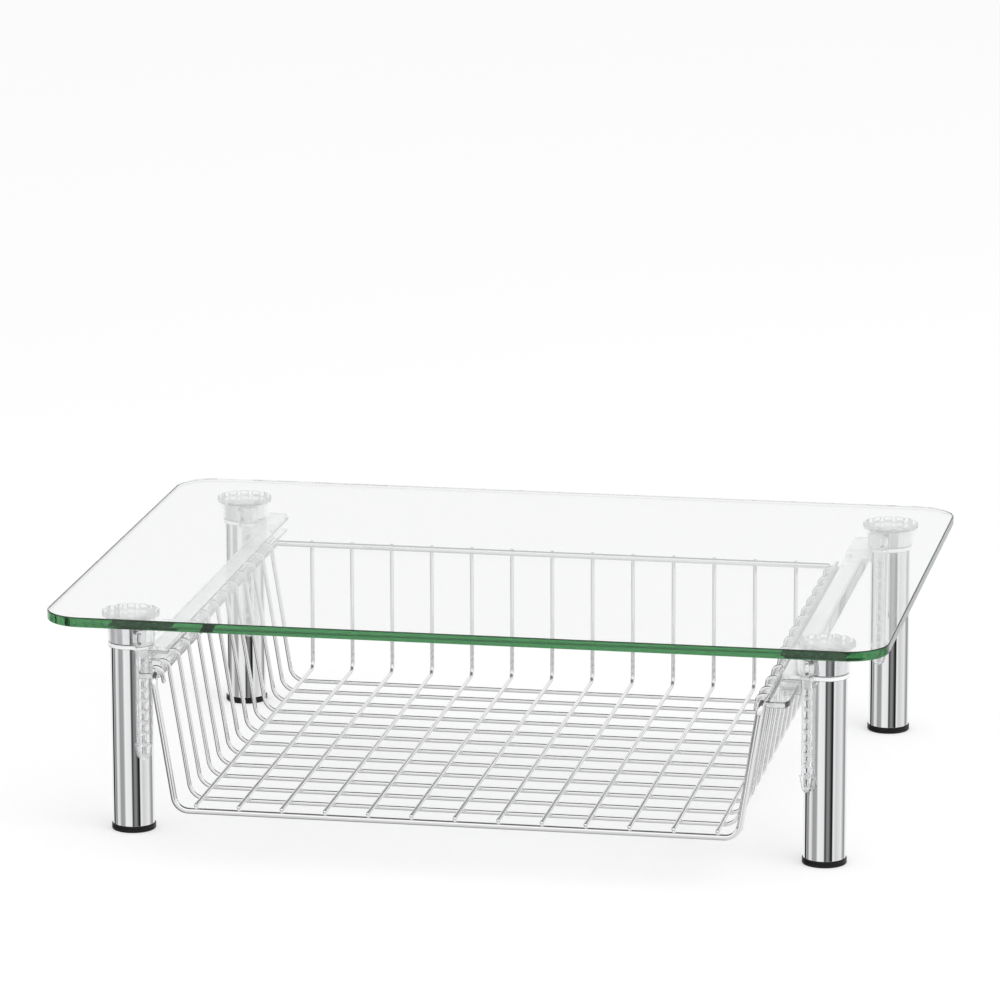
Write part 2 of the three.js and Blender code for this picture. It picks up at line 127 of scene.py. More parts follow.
class GlassSettings(bpy.types.PropertyGroup):
    """Sizes and tint of the glass sheet, and of the bond films between it and the cups, whose colours are
    painted shade and painted glints
    """

    corner_radius: length("Corner radius", 25.0, "Radius of the four corners of the sheet")
    edge_round: length("Edge round", 0.8, "Radius of the polished edge, above and below")
    absorption: amount("Absorption", 7.3, "How strongly a metre of the glass takes up red light")
    tint: colour("Tint", (0.0, 0.53, 0.15), "Share of green and blue light that the glass keeps, against red")
    # the ground edge's dark colour is partly its own and partly painted shade for the dark line along the
    # glass edge
    arris_colour_and_shade: colour("Ground arris", (0.15, 0.21, 0.17), "Colour of the ground edge round the polished faces")
    arris_roughness: share("Arris roughness", 0.3, "Roughness of the ground edge")
    # the bonds' colours are painted shade in the glass edge over the cups, with pale specks as painted glints
    bond_painted_shade: colour("Dark bond", (0.009, 0.046, 0.014), "Colour of the bonds")
    bond_painted_glints: colour("Light bond", (0.13, 0.34, 0.165), "Colour of the specks in the bonds")
    bond_outer: length("Bond outer", 11.0, "How far a front bond reaches to the outside of its leg")
    bond_inner: length("Bond inner", 27.0, "How far a front bond reaches to the inside of its leg")
    bond_rear: length("Rear bond", 4.0, "Half width of a rear bond")
    bond_depth: length("Bond depth", 19.0, "Half depth of the clear bonds, front to rear")
    bond_shift: length("Bond shift", 2.4, "How far all bonds lie to the right")


class LegSettings(bpy.types.PropertyGroup):
    """Sizes and finish of the chrome legs and their feet"""

    tube_radius: length("Tube radius", 12.7, "Outer radius of a leg tube")
    tube_wall: length("Tube wall", 1.2, "Thickness of the tube's wall")
    tube_edge: length("Tube edge", 0.3, "Radius of the tube's end edges")
    foot_radius: length("Foot radius", 13.35, "Radius of a foot cap")
    foot_height: length("Foot height", 3.6, "Height of the foot cap below the tube")
    foot_round: length("Foot round", 0.8, "Radius of the foot cap's lower edge")
    chrome: colour("Chrome", (0.87, 0.875, 0.885), "Colour of the plated tubes")
    rubber: colour("Rubber", (0.006, 0.006, 0.0065), "Colour of the foot caps")


class FittingSettings(bpy.types.PropertyGroup):
    """Sizes and finish of the clear cups, brackets and straps"""

    flange_radius: length("Flange radius", 17.5, "Radius of a cup's flange")
    flange_height: length("Flange height", 3.0, "Thickness of a cup's flange")
    skirt_top: length("Skirt top radius", 15.0, "Outer radius of a cup's skirt under the flange")
    skirt_wall: length("Skirt wall", 0.9, "Thickness of a cup's skirt at its lower end")
    air_gap: length("Air gap", 0.04, "Space left between clear pieces that lie on each other")
    notch_depth: length("Notch depth", 1.7, "Depth of the notches round a flange")
    notch_count: whole("Notches", 14, "Number of notches round a flange")
    ring_wall: length("Ring wall", 0.9, "Width of a bracket's ring round the tube")
    collar_wall: length("Collar wall", 0.95, "Width of the thick pale collar of a bracket round the tube")
    pale: colour("Pale plastic", (0.97, 0.975, 0.98), "Colour of the collars and of the front plugs")
    # the rear plugs are the front plugs' pale plastic, painted grey as shade
    rear_plug_shaded: colour("Rear plugs", (0.74, 0.745, 0.75), "Colour of the plugs in the rear tubes")
    bore_play: length("Bore play", 0.3, "Space between a tube and the fittings round it")
    plate_length: length("Plate length", 48.0, "Length of a bracket's plate along the rail")
    plate_corner: length("Plate corner", 2.0, "Corner radius of a bracket's plate and lug")
    moulded_edge: length("Moulded edge", 0.5, "Radius of a bracket's edges")
    turn_front: turn("Front strap turn", 40.0, "How far a front strap is turned from the front to the inside")
    turn_rear: turn("Rear strap turn", 20.0, "How far a rear strap is turned from the front to the inside")
    strap_width: length("Strap width", 7.4, "Width of a strap's tail")
    strap_thickness: length("Strap thickness", 1.6, "Thickness of a strap's tail")
    strap_standoff: length("Strap standoff", 1.5, "Space between a tube and a strap's tail")
    window_width: length("Window width", 3.2, "Width of a strap's windows")
    window_height: length("Window height", 4.8, "Height of a strap's windows")
    window_pitch: length("Window pitch", 6.85, "Distance from one window to the next")
    window_count: whole("Windows", 9, "Number of windows in a strap")
    clear: colour("Clear plastic", (0.975, 0.98, 0.985), "Colour of the clear plastic")


class RailSettings(bpy.types.PropertyGroup):
    """Sizes of the side rails and of the runners in them"""

    wall: length("Rail wall", 1.6, "Thickness of a rail's walls")
    lip_inset: length("Lip inset", 0.7, "How far the lower lip stays behind the upper flange")
    ledge_thickness: length("Ledge thickness", 1.5, "Thickness of the runner's ledge under the rim")
    ledge_width: length("Ledge width", 4.6, "How far the ledge reaches in under the rim")
    corner: length("Corner", 0.5, "Corner radius of a rail's section")
    nose_length: length("Nose length", 7.0, "Length over which a runner's nose narrows")
    nose_taper: length("Nose taper", 2.0, "How much a runner's nose narrows")


class BasketSettings(bpy.types.PropertyGroup):
    """Sizes and finish of the wire basket"""

    frame_radius: length("Frame wire radius", 1.9, "Radius of the thick frame wire")
    wire_radius: length("Wire radius", 1.3, "Radius of the cross wires and long wires")
    rim_half: length("Rim half width", 181.0, "Distance from the middle of the basket to a rim")
    depth: length("Depth", 326.0, "Length of the basket, front to rear")
    height: length("Height", 81.0, "Height of the basket, from floor to rim")
    lean: share("Lean", 0.16, "How much a side wall leans out for each part of its height")
    frame_bend: length("Frame bend", 9.0, "Bend radius of the frame wire at the floor")
    frame_top_bend: length("Frame top bend", 7.0, "Bend radius of the frame wire at the rim")
    cross_bend: length("Cross bend", 10.0, "Bend radius of a cross wire at the floor")
    long_bend: length("Long bend", 5.5, "Bend radius of a long wire at the rear")
    hook_tail: length("Hook tail", 2.5, "How far a hook reaches over the rim")
    cross_pitch: length("Cross wire pitch", 25.3, "Distance from one cross wire to the next")
    cross_count: whole("Cross wires", 12, "Number of cross wires")
    long_count: whole("Long wires", 13, "Number of long wires")
    weld_radius: length("Weld radius", 1.15, "Radius of the weld at a crossing")
    rear_rise: length("Rear rise", 1.9, "How far a long wire rises above the rim")
    rim_tail: length("Rim tail", 6.0, "How far a rim reaches behind the rear wall")
    plating: colour("Plating", (0.92, 0.92, 0.925), "Colour of the plated wire")


class StageSettings(bpy.types.PropertyGroup):
    """Floor, light and camera"""

    floor_size: length("Floor size", 40000.0, "Width of the floor")
    floor_colour: colour("Floor", (0.985, 0.985, 0.985), "Colour of the floor")
    floor_lift: share("Floor lift", 0.4, "How far the camera sees the floor as white")
    dome: amount("Dome light", 0.93, "Strength of the even light from all round")
    key_power: amount("Key light", 20.0, "Power of the large soft lamp in watts")
    key_width: length("Key width", 2400.0, "Width of that lamp")
    key_height: length("Key height", 1800.0, "Height of that lamp")
    key_right: length("Key right", 1600.0, "How far that lamp stands to the right")
    key_front: length("Key front", 1100.0, "How far that lamp stands to the front")
    key_up: length("Key up", 2200.0, "How far that lamp stands above the floor")
    camera_height: length("Camera height", 1042.4, "Height of the camera above the floor")
    camera_across: length("Camera across", 676.7, "How far the camera stands right of the glass's middle")
    camera_back: length("Camera distance", 3653.0, "How far the camera stands in front of that middle")
    camera_yaw: turn("Camera yaw", 10.6285, "How far the camera is turned to the left")
    camera_pitch: turn("Camera pitch", 13.1407, "How far the camera looks down")
    camera_roll: turn("Camera roll", -0.12, "How far the camera is rolled")
    camera_lens: amount("Camera lens", 222.54, "Focal length in millimetres")
    camera_sensor: amount("Camera sensor", 36.0, "Width of the camera's sensor in millimetres")
    camera_reach: length("Camera reach", 100000.0, "How far the camera sees")


# Materials

class Nodes:
    """Adds nodes to one tree and joins them by the names of their sockets"""

    def __init__(self, tree):
        self.tree = tree

    def add(self, kind, settings=None, **inputs):
        made = self.tree.nodes.new(kind)
        for name, value in (settings or {}).items():
            setattr(made, name, value)
        for name, value in inputs.items():
            self.feed(made, name.replace("_", " "), value)
        return made

    def feed(self, node, name, value):
        """Sets the input with this name or number, to a socket, a node's first output or a constant"""
        socket = node.inputs[name]
        if isinstance(value, bpy.types.Node):
            value = value.outputs[0]
        if isinstance(value, bpy.types.NodeSocket):
            self.tree.links.new(value, socket)
        elif socket.type == "RGBA":
            socket.default_value = (*value[:3], 1.0)
        else:
            socket.default_value = value

    def sums(self, operation, first, second):
        made = self.add("ShaderNodeMath", {"operation": operation})
        self.feed(made, 0, first)
        self.feed(made, 1, second)
        return made.outputs[0]

    def mix_colours(self, factor, first, second):
        made = self.add("ShaderNodeMix", {"data_type": "RGBA"})
        for index, value in ((0, factor), (6, first), (7, second)):
            self.feed(made, index, value)
        return made.outputs[2]

    def mix_shaders(self, factor, first, second):
        made = self.add("ShaderNodeMixShader")
        for index, value in enumerate((factor, first, second)):
            self.feed(made, index, value)
        return made.outputs[0]

    def spread(self, value, from_low, from_high, to_low=0.0, to_high=1.0):
        """Spreads one range of a value over another, and holds it at both ends"""
        made = self.add("ShaderNodeMapRange", {"clamp": True})
        for name, number in (("Value", value), ("From Min", from_low), ("From Max", from_high),
                             ("To Min", to_low), ("To Max", to_high)):
            self.feed(made, name, number)
        return made.outputs["Result"]


def fresh_material(name):
    material = bpy.data.materials.new(name)
    material.use_nodes = True
    material.node_tree.nodes.clear()
    nodes = Nodes(material.node_tree)
    output = nodes.add("ShaderNodeOutputMaterial")
    return material, nodes, output


def object_noise(nodes, scale, detail=2.0, stretch=(1.0, 1.0, 1.0)):
    place = nodes.add("ShaderNodeTexCoord").outputs["Object"]
    mapped = nodes.add("ShaderNodeMapping", Vector=place, Scale=stretch)
    noise = nodes.add("ShaderNodeTexNoise", Vector=mapped, Scale=scale, Detail=detail)
    return noise.outputs["Fac"]


def upwards(nodes, geometry):
    """How far a face looks up: 1 when level, 0 when upright"""
    return nodes.add("ShaderNodeSeparateXYZ", Vector=geometry.outputs["True Normal"]).outputs["Z"]


def edge_share(nodes):
    """1 on the small rounds between flat and upright faces, 0 on those faces"""
    upright = nodes.sums("ABSOLUTE", upwards(nodes, nodes.add("ShaderNodeNewGeometry")), 0.0)
    return nodes.sums("MULTIPLY", nodes.spread(upright, 0.1, 0.3), nodes.spread(upright, 0.9, 0.98, 1.0, 0.0))


def lamp_passes(nodes):
    """1 where a ray carries lamp light or light between dull surfaces, which a clear solid lets through"""
    path = nodes.add("ShaderNodeLightPath")
    return nodes.sums("MAXIMUM", path.outputs["Is Shadow Ray"], path.outputs["Is Diffuse Ray"])


def let_through(nodes, output, share_through, body, kept=1.0):
    """Ends a surface: the body, and a plain way through it for the given share"""
    through = nodes.add("ShaderNodeBsdfTransparent", Color=(kept, kept, kept))
    nodes.feed(output, "Surface", nodes.mix_shaders(share_through, body, through))


def green_glass(settings):
    material, nodes, output = fresh_material("green_glass")
    smudge = object_noise(nodes, scale=9.0, detail=4.0)
    place = nodes.add("ShaderNodeTexCoord").outputs["Object"]
    height = nodes.add("ShaderNodeSeparateXYZ", Vector=place).outputs["Z"]
    upper = nodes.spread(height, GLASS_MIDDLE.z, GLASS_MIDDLE.z + 0.1 * MM)
    ground = nodes.sums("MULTIPLY", edge_share(nodes), upper)
    polish = nodes.spread(smudge, 0.45, 0.75, 0.0, 0.012)
    roughness = nodes.sums("ADD", polish, nodes.sums("MULTIPLY", ground, settings.arris_roughness))
    ripple = object_noise(nodes, scale=3.0, detail=1.0)
    bump = nodes.add("ShaderNodeBump", Height=ripple, Strength=0.02, Distance=0.5 * MM)
    clean = nodes.mix_colours(smudge, (0.99, 0.963, 0.983), (1.0, 0.973, 0.993))
    # the ground arris takes a dark colour: partly the edge's own, partly painted shade for the dark line
    # along the glass edge
    body = nodes.add(
        "ShaderNodeBsdfPrincipled", Base_Color=nodes.mix_colours(ground, clean, settings.arris_colour_and_shade),
        Roughness=roughness, Normal=bump, IOR=1.52, Transmission_Weight=1.0,
    )
    let_through(nodes, output, lamp_passes(nodes), body)
    depth = nodes.add("ShaderNodeVolumeAbsorption", Color=settings.tint, Density=settings.absorption)
    nodes.feed(output, "Volume", depth)
    return material


def clear_plastic(name, tint, roughness, grain, bump, clearness, line, bonded=0.0):
    """Clear plastic with painted shade along its edges: its rounds and the faces seen at a low angle are
    darkened towards line, the grey of those edges. bonded is the share of an upper face that vanishes
    """
    material, nodes, output = fresh_material(name)
    flow = object_noise(nodes, scale=grain, detail=3.0)
    haze = nodes.spread(flow, 0.35, 0.8, roughness * 0.4, roughness * 1.8)
    waves = nodes.add("ShaderNodeBump", Height=flow, Strength=bump, Distance=0.4 * MM)
    tone = nodes.mix_colours(flow, tint, [min(1.0, part * 1.02) for part in tint])
    # painted shade: dark lines on the rounds and where a face is seen at a low angle
    facing = nodes.add("ShaderNodeLayerWeight", Blend=0.5).outputs["Facing"]
    turned = nodes.spread(facing, 0.84, 0.97, 0.0, 0.85)
    lines = nodes.sums("MAXIMUM", turned, nodes.sums("MULTIPLY", edge_share(nodes), 0.9))
    body = nodes.add(
        "ShaderNodeBsdfPrincipled", Base_Color=nodes.mix_colours(lines, tone, (line, line, line)),
        Roughness=haze, Normal=waves, IOR=1.49, Transmission_Weight=clearness,
    )
    passes = lamp_passes(nodes)
    if bonded:
        # the upper face sticks to the sheet, so nothing mirrors between the two
        face = nodes.add("ShaderNodeNewGeometry")
        level = nodes.spread(upwards(nodes, face), 0.9, 0.95, 0.0, bonded)
        outside = nodes.sums("SUBTRACT", 1.0, face.outputs["Backfacing"])
        passes = nodes.sums("MAXIMUM", passes, nodes.sums("MULTIPLY", level, outside))
    let_through(nodes, output, passes, body, kept=0.99)
    return material


def pale_plastic(name, tint):
    """Clear plastic so thick that it looks white"""
    material, nodes, output = fresh_material(name)
    flow = object_noise(nodes, scale=120.0)
    bump = nodes.add("ShaderNodeBump", Height=flow, Strength=0.02, Distance=0.3 * MM)
    body = nodes.add(
        "ShaderNodeBsdfPrincipled", Normal=bump, Roughness=nodes.spread(flow, 0.3, 0.7, 0.12, 0.2),
        Base_Color=nodes.mix_colours(flow, tint, [min(1.0, part * 1.04) for part in tint]),
        Transmission_Weight=0.12,
    )
    nodes.feed(output, "Surface", body)
    return material


def plated_steel(name, tint, roughness, scale, stretch, bump):
    material, nodes, output = fresh_material(name)
    streak = object_noise(nodes, scale, detail=4.0, stretch=stretch)
    haze = nodes.spread(streak, 0.3, 0.75, roughness * 0.6, roughness * 1.5)
    cloud = object_noise(nodes, scale=14.0)
    tone = nodes.mix_colours(cloud, [part * 0.97 for part in tint], tint)
    waves = nodes.add("ShaderNodeBump", Height=streak, Strength=bump, Distance=0.2 * MM)
    body = nodes.add(
        "ShaderNodeBsdfPrincipled", Base_Color=tone, Roughness=haze, Normal=waves, Metallic=1.0,
    )
    nodes.feed(output, "Surface", body)
    return material


def black_rubber(settings):
    material, nodes, output = fresh_material("black_rubber")
    grain = object_noise(nodes, scale=900.0, detail=3.0)
    wear = object_noise(nodes, scale=90.0)
    bump = nodes.add("ShaderNodeBump", Height=grain, Strength=0.35, Distance=0.2 * MM)
    body = nodes.add(
        "ShaderNodeBsdfPrincipled", Normal=bump, Roughness=nodes.spread(wear, 0.3, 0.7, 0.28, 0.4),
        Base_Color=nodes.mix_colours(wear, settings.rubber, [part * 2.2 for part in settings.rubber]),
        Specular_IOR_Level=0.2,
    )
    nodes.feed(output, "Surface", body)
    return material


def clear_bond(settings):
    """A thin clear film with painted shade and painted glints: dark and dull with pale specks at a low angle,
    and not seen from above
    """
    material, nodes, output = fresh_material("clear_bond")
    grain = nodes.spread(object_noise(nodes, scale=420.0), 0.56, 0.72)
    facing = nodes.add("ShaderNodeLayerWeight", Blend=0.5).outputs["Facing"]
    # painted shade: dark and dull where the film is seen at a low angle, with pale specks as painted glints
    tone = nodes.mix_colours(grain, settings.bond_painted_shade, settings.bond_painted_glints)
    dull = nodes.add("ShaderNodeBsdfPrincipled", Base_Color=tone, Roughness=0.5, Specular_IOR_Level=0.1)
    clear = nodes.add("ShaderNodeBsdfTransparent", Color=WHITE)
    seen = nodes.mix_shaders(nodes.spread(facing, 0.45, 0.7, 0.0, 0.96), clear, dull)
    let_through(nodes, output, lamp_passes(nodes), seen)
    return material


def floor_material(settings):
    """A pale floor that takes shadows, is lifted towards white for the camera, and is not seen in mirrors"""
    material, nodes, output = fresh_material("pale_floor")
    cloud = object_noise(nodes, scale=2.0)
    tone = nodes.mix_colours(cloud, settings.floor_colour, [part * 0.995 for part in settings.floor_colour])
    body = nodes.add("ShaderNodeBsdfPrincipled", Base_Color=tone, Roughness=0.9, Specular_IOR_Level=0.0)
    path = nodes.add("ShaderNodeLightPath")
    pale = nodes.add("ShaderNodeEmission", Color=WHITE, Strength=1.0)
    direct = nodes.sums("MAXIMUM", path.outputs["Is Camera Ray"], path.outputs["Is Transmission Ray"])
    lift = nodes.sums("MULTIPLY", direct, settings.floor_lift)
    mirrored = nodes.sums("MINIMUM", path.outputs["Glossy Depth"], 1.0)
    let_through(nodes, output, mirrored, nodes.mix_shaders(lift, body, pale))
    return material


# Meshes

def finish_mesh(name, bm, material, sharp_degrees=38.0):
    """Puts a bmesh in a new object, smooth but for the edges that turn by more than the angle"""
    limit = math.radians(sharp_degrees)
    for face in bm.faces:
        face.smooth = True
    for edge in bm.edges:
        edge.smooth = len(edge.link_faces) == 2 and edge.calc_face_angle(math.pi) < limit
    mesh = bpy.data.meshes.new(name)
    bm.to_mesh(mesh)
    bm.free()
    mesh.materials.append(material)
    made = bpy.data.objects.new(name, mesh)
    bpy.context.scene.collection.objects.link(made)
    even = made.modifiers.new("even_normals", "WEIGHTED_NORMAL")
    even.mode = "FACE_AREA"
    even.keep_sharp = True
    return made


def add_parts(target, part, matrix):
    """Copies a part's faces into the target, and turns them over where the matrix mirrors"""
    mirrored = matrix.to_3x3().determinant() < 0
    copies = {vert: target.verts.new(matrix @ vert.co) for vert in part.verts}
    for face in part.faces:
        corners = [copies[vert] for vert in face.verts]
        target.faces.new(reversed(corners) if mirrored else corners)


def placed(name, part, matrix, material, sharp_degrees=38.0):
    """A new object from a part's faces, moved by the matrix"""
    bm = bmesh.new()
    add_parts(bm, part, matrix)
    return finish_mesh(name, bm, material, sharp_degrees)


def bridge_rings(bm, rings):
    """Joins rings of the same count with quads, and closes the first and last with one face each"""
    made = [[bm.verts.new(point) for point in ring] for ring in rings]
    count = len(made[0])
    for lower, upper in zip(made, made[1:]):
        for n in range(count):
            after = (n + 1) % count
            bm.faces.new((lower[n], lower[after], upper[after], upper[n]))
    bm.faces.new(list(reversed(made[0])))
    bm.faces.new(made[-1])


def quarter(radius, steps):
    """Points of a quarter round, as (how far in, how far from the face), from the side to the face"""
    return [
        (radius * (1 - math.cos(math.pi / 2 * n / steps)), radius * (1 - math.sin(math.pi / 2 * n / steps)))
        for n in range(steps + 1)
    ]


def rounded_outline(left, right, low, high, radius, steps):
    """A flat box with round corners"""
    points = []
    for x, y, start in ((right - radius, low + radius, -90), (right - radius, high - radius, 0),
                        (left + radius, high - radius, 90), (left + radius, low + radius, 180)):
        for n in range(steps + 1):
            angle = math.radians(start + 90 * n / steps)
            points.append(Vector((x + radius * math.cos(angle), y + radius * math.sin(angle))))
    return points


def circle_outline(radius, steps):
    angles = [2 * math.pi * n / steps for n in range(steps)]
    return [Vector((radius * math.cos(angle), radius * math.sin(angle))) for angle in angles]


def rotated(outline, angle):
    """A flat outline turned round the origin"""
    across, along = math.cos(angle), math.sin(angle)
    return [Vector((p.x * across - p.y * along, p.x * along + p.y * across)) for p in outline]


def inside(point, outline):
    """Whether a flat point lies inside an outline"""
    odd = False
    for first, second in zip(outline, outline[1:] + outline[:1]):
        if (first.y > point.y) != (second.y > point.y):
            crossing = first.x + (point.y - first.y) * (second.x - first.x) / (second.y - first.y)
            odd = odd != (point.x < crossing)
    return odd


def flat_shape(solids, holes):
    """The faces of the joined solid outlines, less the holes, as a flat bmesh at height 0"""
    points, edges = [], []
    for outline in solids + holes:
        first = len(points)
        points.extend(outline)
        edges.extend((first + n, first + (n + 1) % len(outline)) for n in range(len(outline)))
    inside_only, nearest = 1, 1e-7
    verts, _, faces, _, _, _ = delaunay_2d_cdt(points, edges, [], inside_only, nearest)
    bm = bmesh.new()
    made = [bm.verts.new((x, y, 0.0)) for x, y in verts]
    for face in faces:
        middle = sum((verts[n] for n in face), Vector((0.0, 0.0))) / len(face)
        if any(inside(middle, one) for one in solids) and not any(inside(middle, one) for one in holes):
            bm.faces.new([made[n] for n in face])
    loose = [vert for vert in bm.verts if not vert.link_faces]
    bmesh.ops.delete(bm, geom=loose, context="VERTS")
    bmesh.ops.dissolve_limit(
        bm, angle_limit=math.radians(0.5), use_dissolve_boundaries=False, verts=bm.verts, edges=bm.edges,
    )
    bmesh.ops.recalc_face_normals(bm, faces=bm.faces)
    return bm


def thick_plate(solids, holes, low, high, edge_round, edge_steps=3):
    """A plate with its outline in X and Y, rounded on all its upper and lower edges"""
    bm = flat_shape(solids, holes)
    for vert in bm.verts:
        vert.co.z = low
    raised = bmesh.ops.extrude_face_region(bm, geom=list(bm.faces), use_keep_orig=True)["geom"]
    for vert in (part for part in raised if isinstance(part, bmesh.types.BMVert)):
        vert.co.z = high
    bmesh.ops.recalc_face_normals(bm, faces=bm.faces)
    if edge_round > 0:
        rims = []
        for edge in bm.edges:
            # a rim lies between a level face, tilt 1, and an upright one, tilt 0
            tilts = [abs(face.normal.z) for face in edge.link_faces]
            if len(tilts) == 2 and abs(tilts[0] - tilts[1]) > 0.5:
                rims.append(edge)
        bmesh.ops.bevel(
            bm, geom=rims, offset=edge_round, offset_type="OFFSET", segments=edge_steps, profile=0.5,
            affect="EDGES", clamp_overlap=True,
        )
    return bm


def turned_shape(profile, steps, reach=None):
    """A closed profile of (radius, height) turned round Z. reach changes a radius by height and angle"""
    bm = bmesh.new()
    columns = []
    for n in range(steps):
        angle = 2 * math.pi * n / steps
        column = []
        for radius, height in profile:
            real = reach(radius, height, angle) if reach else radius
            column.append(Vector((real * math.cos(angle), real * math.sin(angle), height)))
        columns.append(column)
    rows = []
    for row, (radius, height) in enumerate(profile):
        if radius == 0:
            pole = bm.verts.new((0.0, 0.0, height))
            rows.append([pole] * steps)
        else:
            rows.append([bm.verts.new(column[row]) for column in columns])
    for row in range(len(profile)):
        after_row = (row + 1) % len(profile)
        if profile[row][0] == 0 and profile[after_row][0] == 0:
            continue
        for n in range(steps):
            after = (n + 1) % steps
            corners = [rows[row][n], rows[row][after], rows[after_row][after], rows[after_row][n]]
            bm.faces.new(list(dict.fromkeys(corners)))
    bmesh.ops.recalc_face_normals(bm, faces=bm.faces)
    return bm


def softened(profile, radius, steps=3):
    """The same closed profile with each corner off the axis turned into a small arc"""
    most = 0.45  # the share of a side that one arc may take
    points = []
    count = len(profile)
    for n, here in enumerate(profile):
        corner = Vector(here)
        if here[0] == 0:
            points.append(here)
            continue
        before = Vector(profile[n - 1]) - corner
        after = Vector(profile[(n + 1) % count]) - corner
        cut = min(radius, before.length * most, after.length * most)
        start = corner + before.normalized() * cut
        end = corner + after.normalized() * cut
        for step in range(steps + 1):
            along = step / steps
            point = start * (1 - along) ** 2 + corner * 2 * along * (1 - along) + end * along ** 2
            points.append((point.x, point.y))
    return points


def bar(section, front, rear, corner, end_round):
    """A bar along Y from a section in X and Z, with soft corners and soft ends"""
    outline = [Vector(point) for point in softened(section, corner)]
    area = sum(a.x * b.y - b.x * a.y for a, b in zip(outline, outline[1:] + outline[:1]))
    if area > 0:
        outline.reverse()
    bm = bmesh.new()
    bridge_rings(bm, [[Vector((point.x, y, point.y)) for point in outline] for y in (front, rear)])
    bmesh.ops.recalc_face_normals(bm, faces=bm.faces)
    ends = [edge for edge in bm.edges if abs(edge.verts[0].co.y - edge.verts[1].co.y) < 1e-9]
    bmesh.ops.bevel(
        bm, geom=ends, offset=end_round, offset_type="OFFSET", segments=2, profile=0.5, affect="EDGES",
        clamp_overlap=True,
    )
    return bm


# Wire by Geometry Nodes

def new_tree(name, inputs):
    """A modifier tree that is given these inputs besides its geometry and material"""
    tree = bpy.data.node_groups.new(name, "GeometryNodeTree")
    tree.is_modifier = True
    for label, kind in (("Geometry", "Geometry"), *inputs, ("Material", "Material")):
        tree.interface.new_socket(label, in_out="INPUT", socket_type="NodeSocket" + kind)
    tree.interface.new_socket("Geometry", in_out="OUTPUT", socket_type="NodeSocketGeometry")
    nodes = Nodes(tree)
    return tree, nodes, nodes.add("NodeGroupInput").outputs


def close_tree(nodes, given, copies):
    """Ends a tree: the copies are made real, smooth and of the given material"""
    real = nodes.add("GeometryNodeRealizeInstances", Geometry=copies)
    smooth = nodes.add("GeometryNodeSetShadeSmooth", Geometry=real)
    dressed = nodes.add("GeometryNodeSetMaterial", Geometry=smooth, Material=given["Material"])
    nodes.add("NodeGroupOutput", Geometry=dressed)


def wire_tree():
    """Bends a line of corners into a wire and repeats it: fillet, sweep, copies, realize, material"""
    tree, nodes, given = new_tree("bent_wire", (
        ("Wire radius", "Float"), ("Wire sides", "Int"), ("Bend steps", "Int"), ("Copies", "Int"),
        ("Step to next", "Vector"),
    ))
    line = nodes.add("GeometryNodeMeshToCurve", Mesh=given["Geometry"])
    bend = nodes.add("GeometryNodeInputNamedAttribute", {"data_type": "FLOAT"}, Name="bend")
    size = nodes.add("GeometryNodeInputNamedAttribute", {"data_type": "FLOAT"}, Name="thickness")
    bent = nodes.add(
        "GeometryNodeFilletCurve", {"mode": "POLY"}, Curve=line, Count=given["Bend steps"], Radius=bend,
    )
    section = nodes.add(
        "GeometryNodeCurvePrimitiveCircle", {"mode": "RADIUS"}, Resolution=given["Wire sides"],
        Radius=given["Wire radius"],
    )
    swept = nodes.add(
        "GeometryNodeCurveToMesh", Curve=bent, Profile_Curve=section, Scale=size, Fill_Caps=True,
    )
    places = nodes.add(
        "GeometryNodeMeshLine", {"mode": "OFFSET"}, Count=given["Copies"], Offset=given["Step to next"],
    )
    close_tree(nodes, given, nodes.add("GeometryNodeInstanceOnPoints", Points=places, Instance=swept))
    return tree


def bead_tree():
    """Puts a small flattened bead on each point: sphere, copies, realize, material"""
    tree, nodes, given = new_tree("weld_beads", (("Bead radius", "Float"), ("Bead shape", "Vector")))
    bead = nodes.add("GeometryNodeMeshUVSphere", Segments=8, Rings=6, Radius=given["Bead radius"])
    close_tree(nodes, given, nodes.add(
        "GeometryNodeInstanceOnPoints", Points=given["Geometry"], Instance=bead, Scale=given["Bead shape"],
    ))
    return tree


def grown(name, base, tree, values):
    """Runs a tree on a base mesh and keeps the result as a plain mesh"""
    carrier = bpy.data.objects.new(name + "_base", base)
    bpy.context.scene.collection.objects.link(carrier)
    modifier = carrier.modifiers.new("shape", "NODES")
    modifier.node_group = tree
    sockets = {item.name: item.identifier for item in tree.interface.items_tree if item.in_out == "INPUT"}
    for label, value in values.items():
        modifier[sockets[label]] = value
    bpy.context.view_layer.update()
    seen = carrier.evaluated_get(bpy.context.evaluated_depsgraph_get())
    mesh = bpy.data.meshes.new_from_object(seen)
    mesh.name = name
    carrier.modifiers.clear()
    bpy.data.objects.remove(carrier)
    bm = bmesh.new()
    bm.from_mesh(mesh)
    bmesh.ops.remove_doubles(bm, verts=bm.verts, dist=1e-7)
    bmesh.ops.recalc_face_normals(bm, faces=bm.faces)
    if not bm.faces:
        raise RuntimeError(name + " came out empty")
    for face in bm.faces:
        face.smooth = True
    bm.to_mesh(mesh)
    bm.free()
    made = bpy.data.objects.new(name, mesh)
    bpy.context.scene.collection.objects.link(made)
    return made


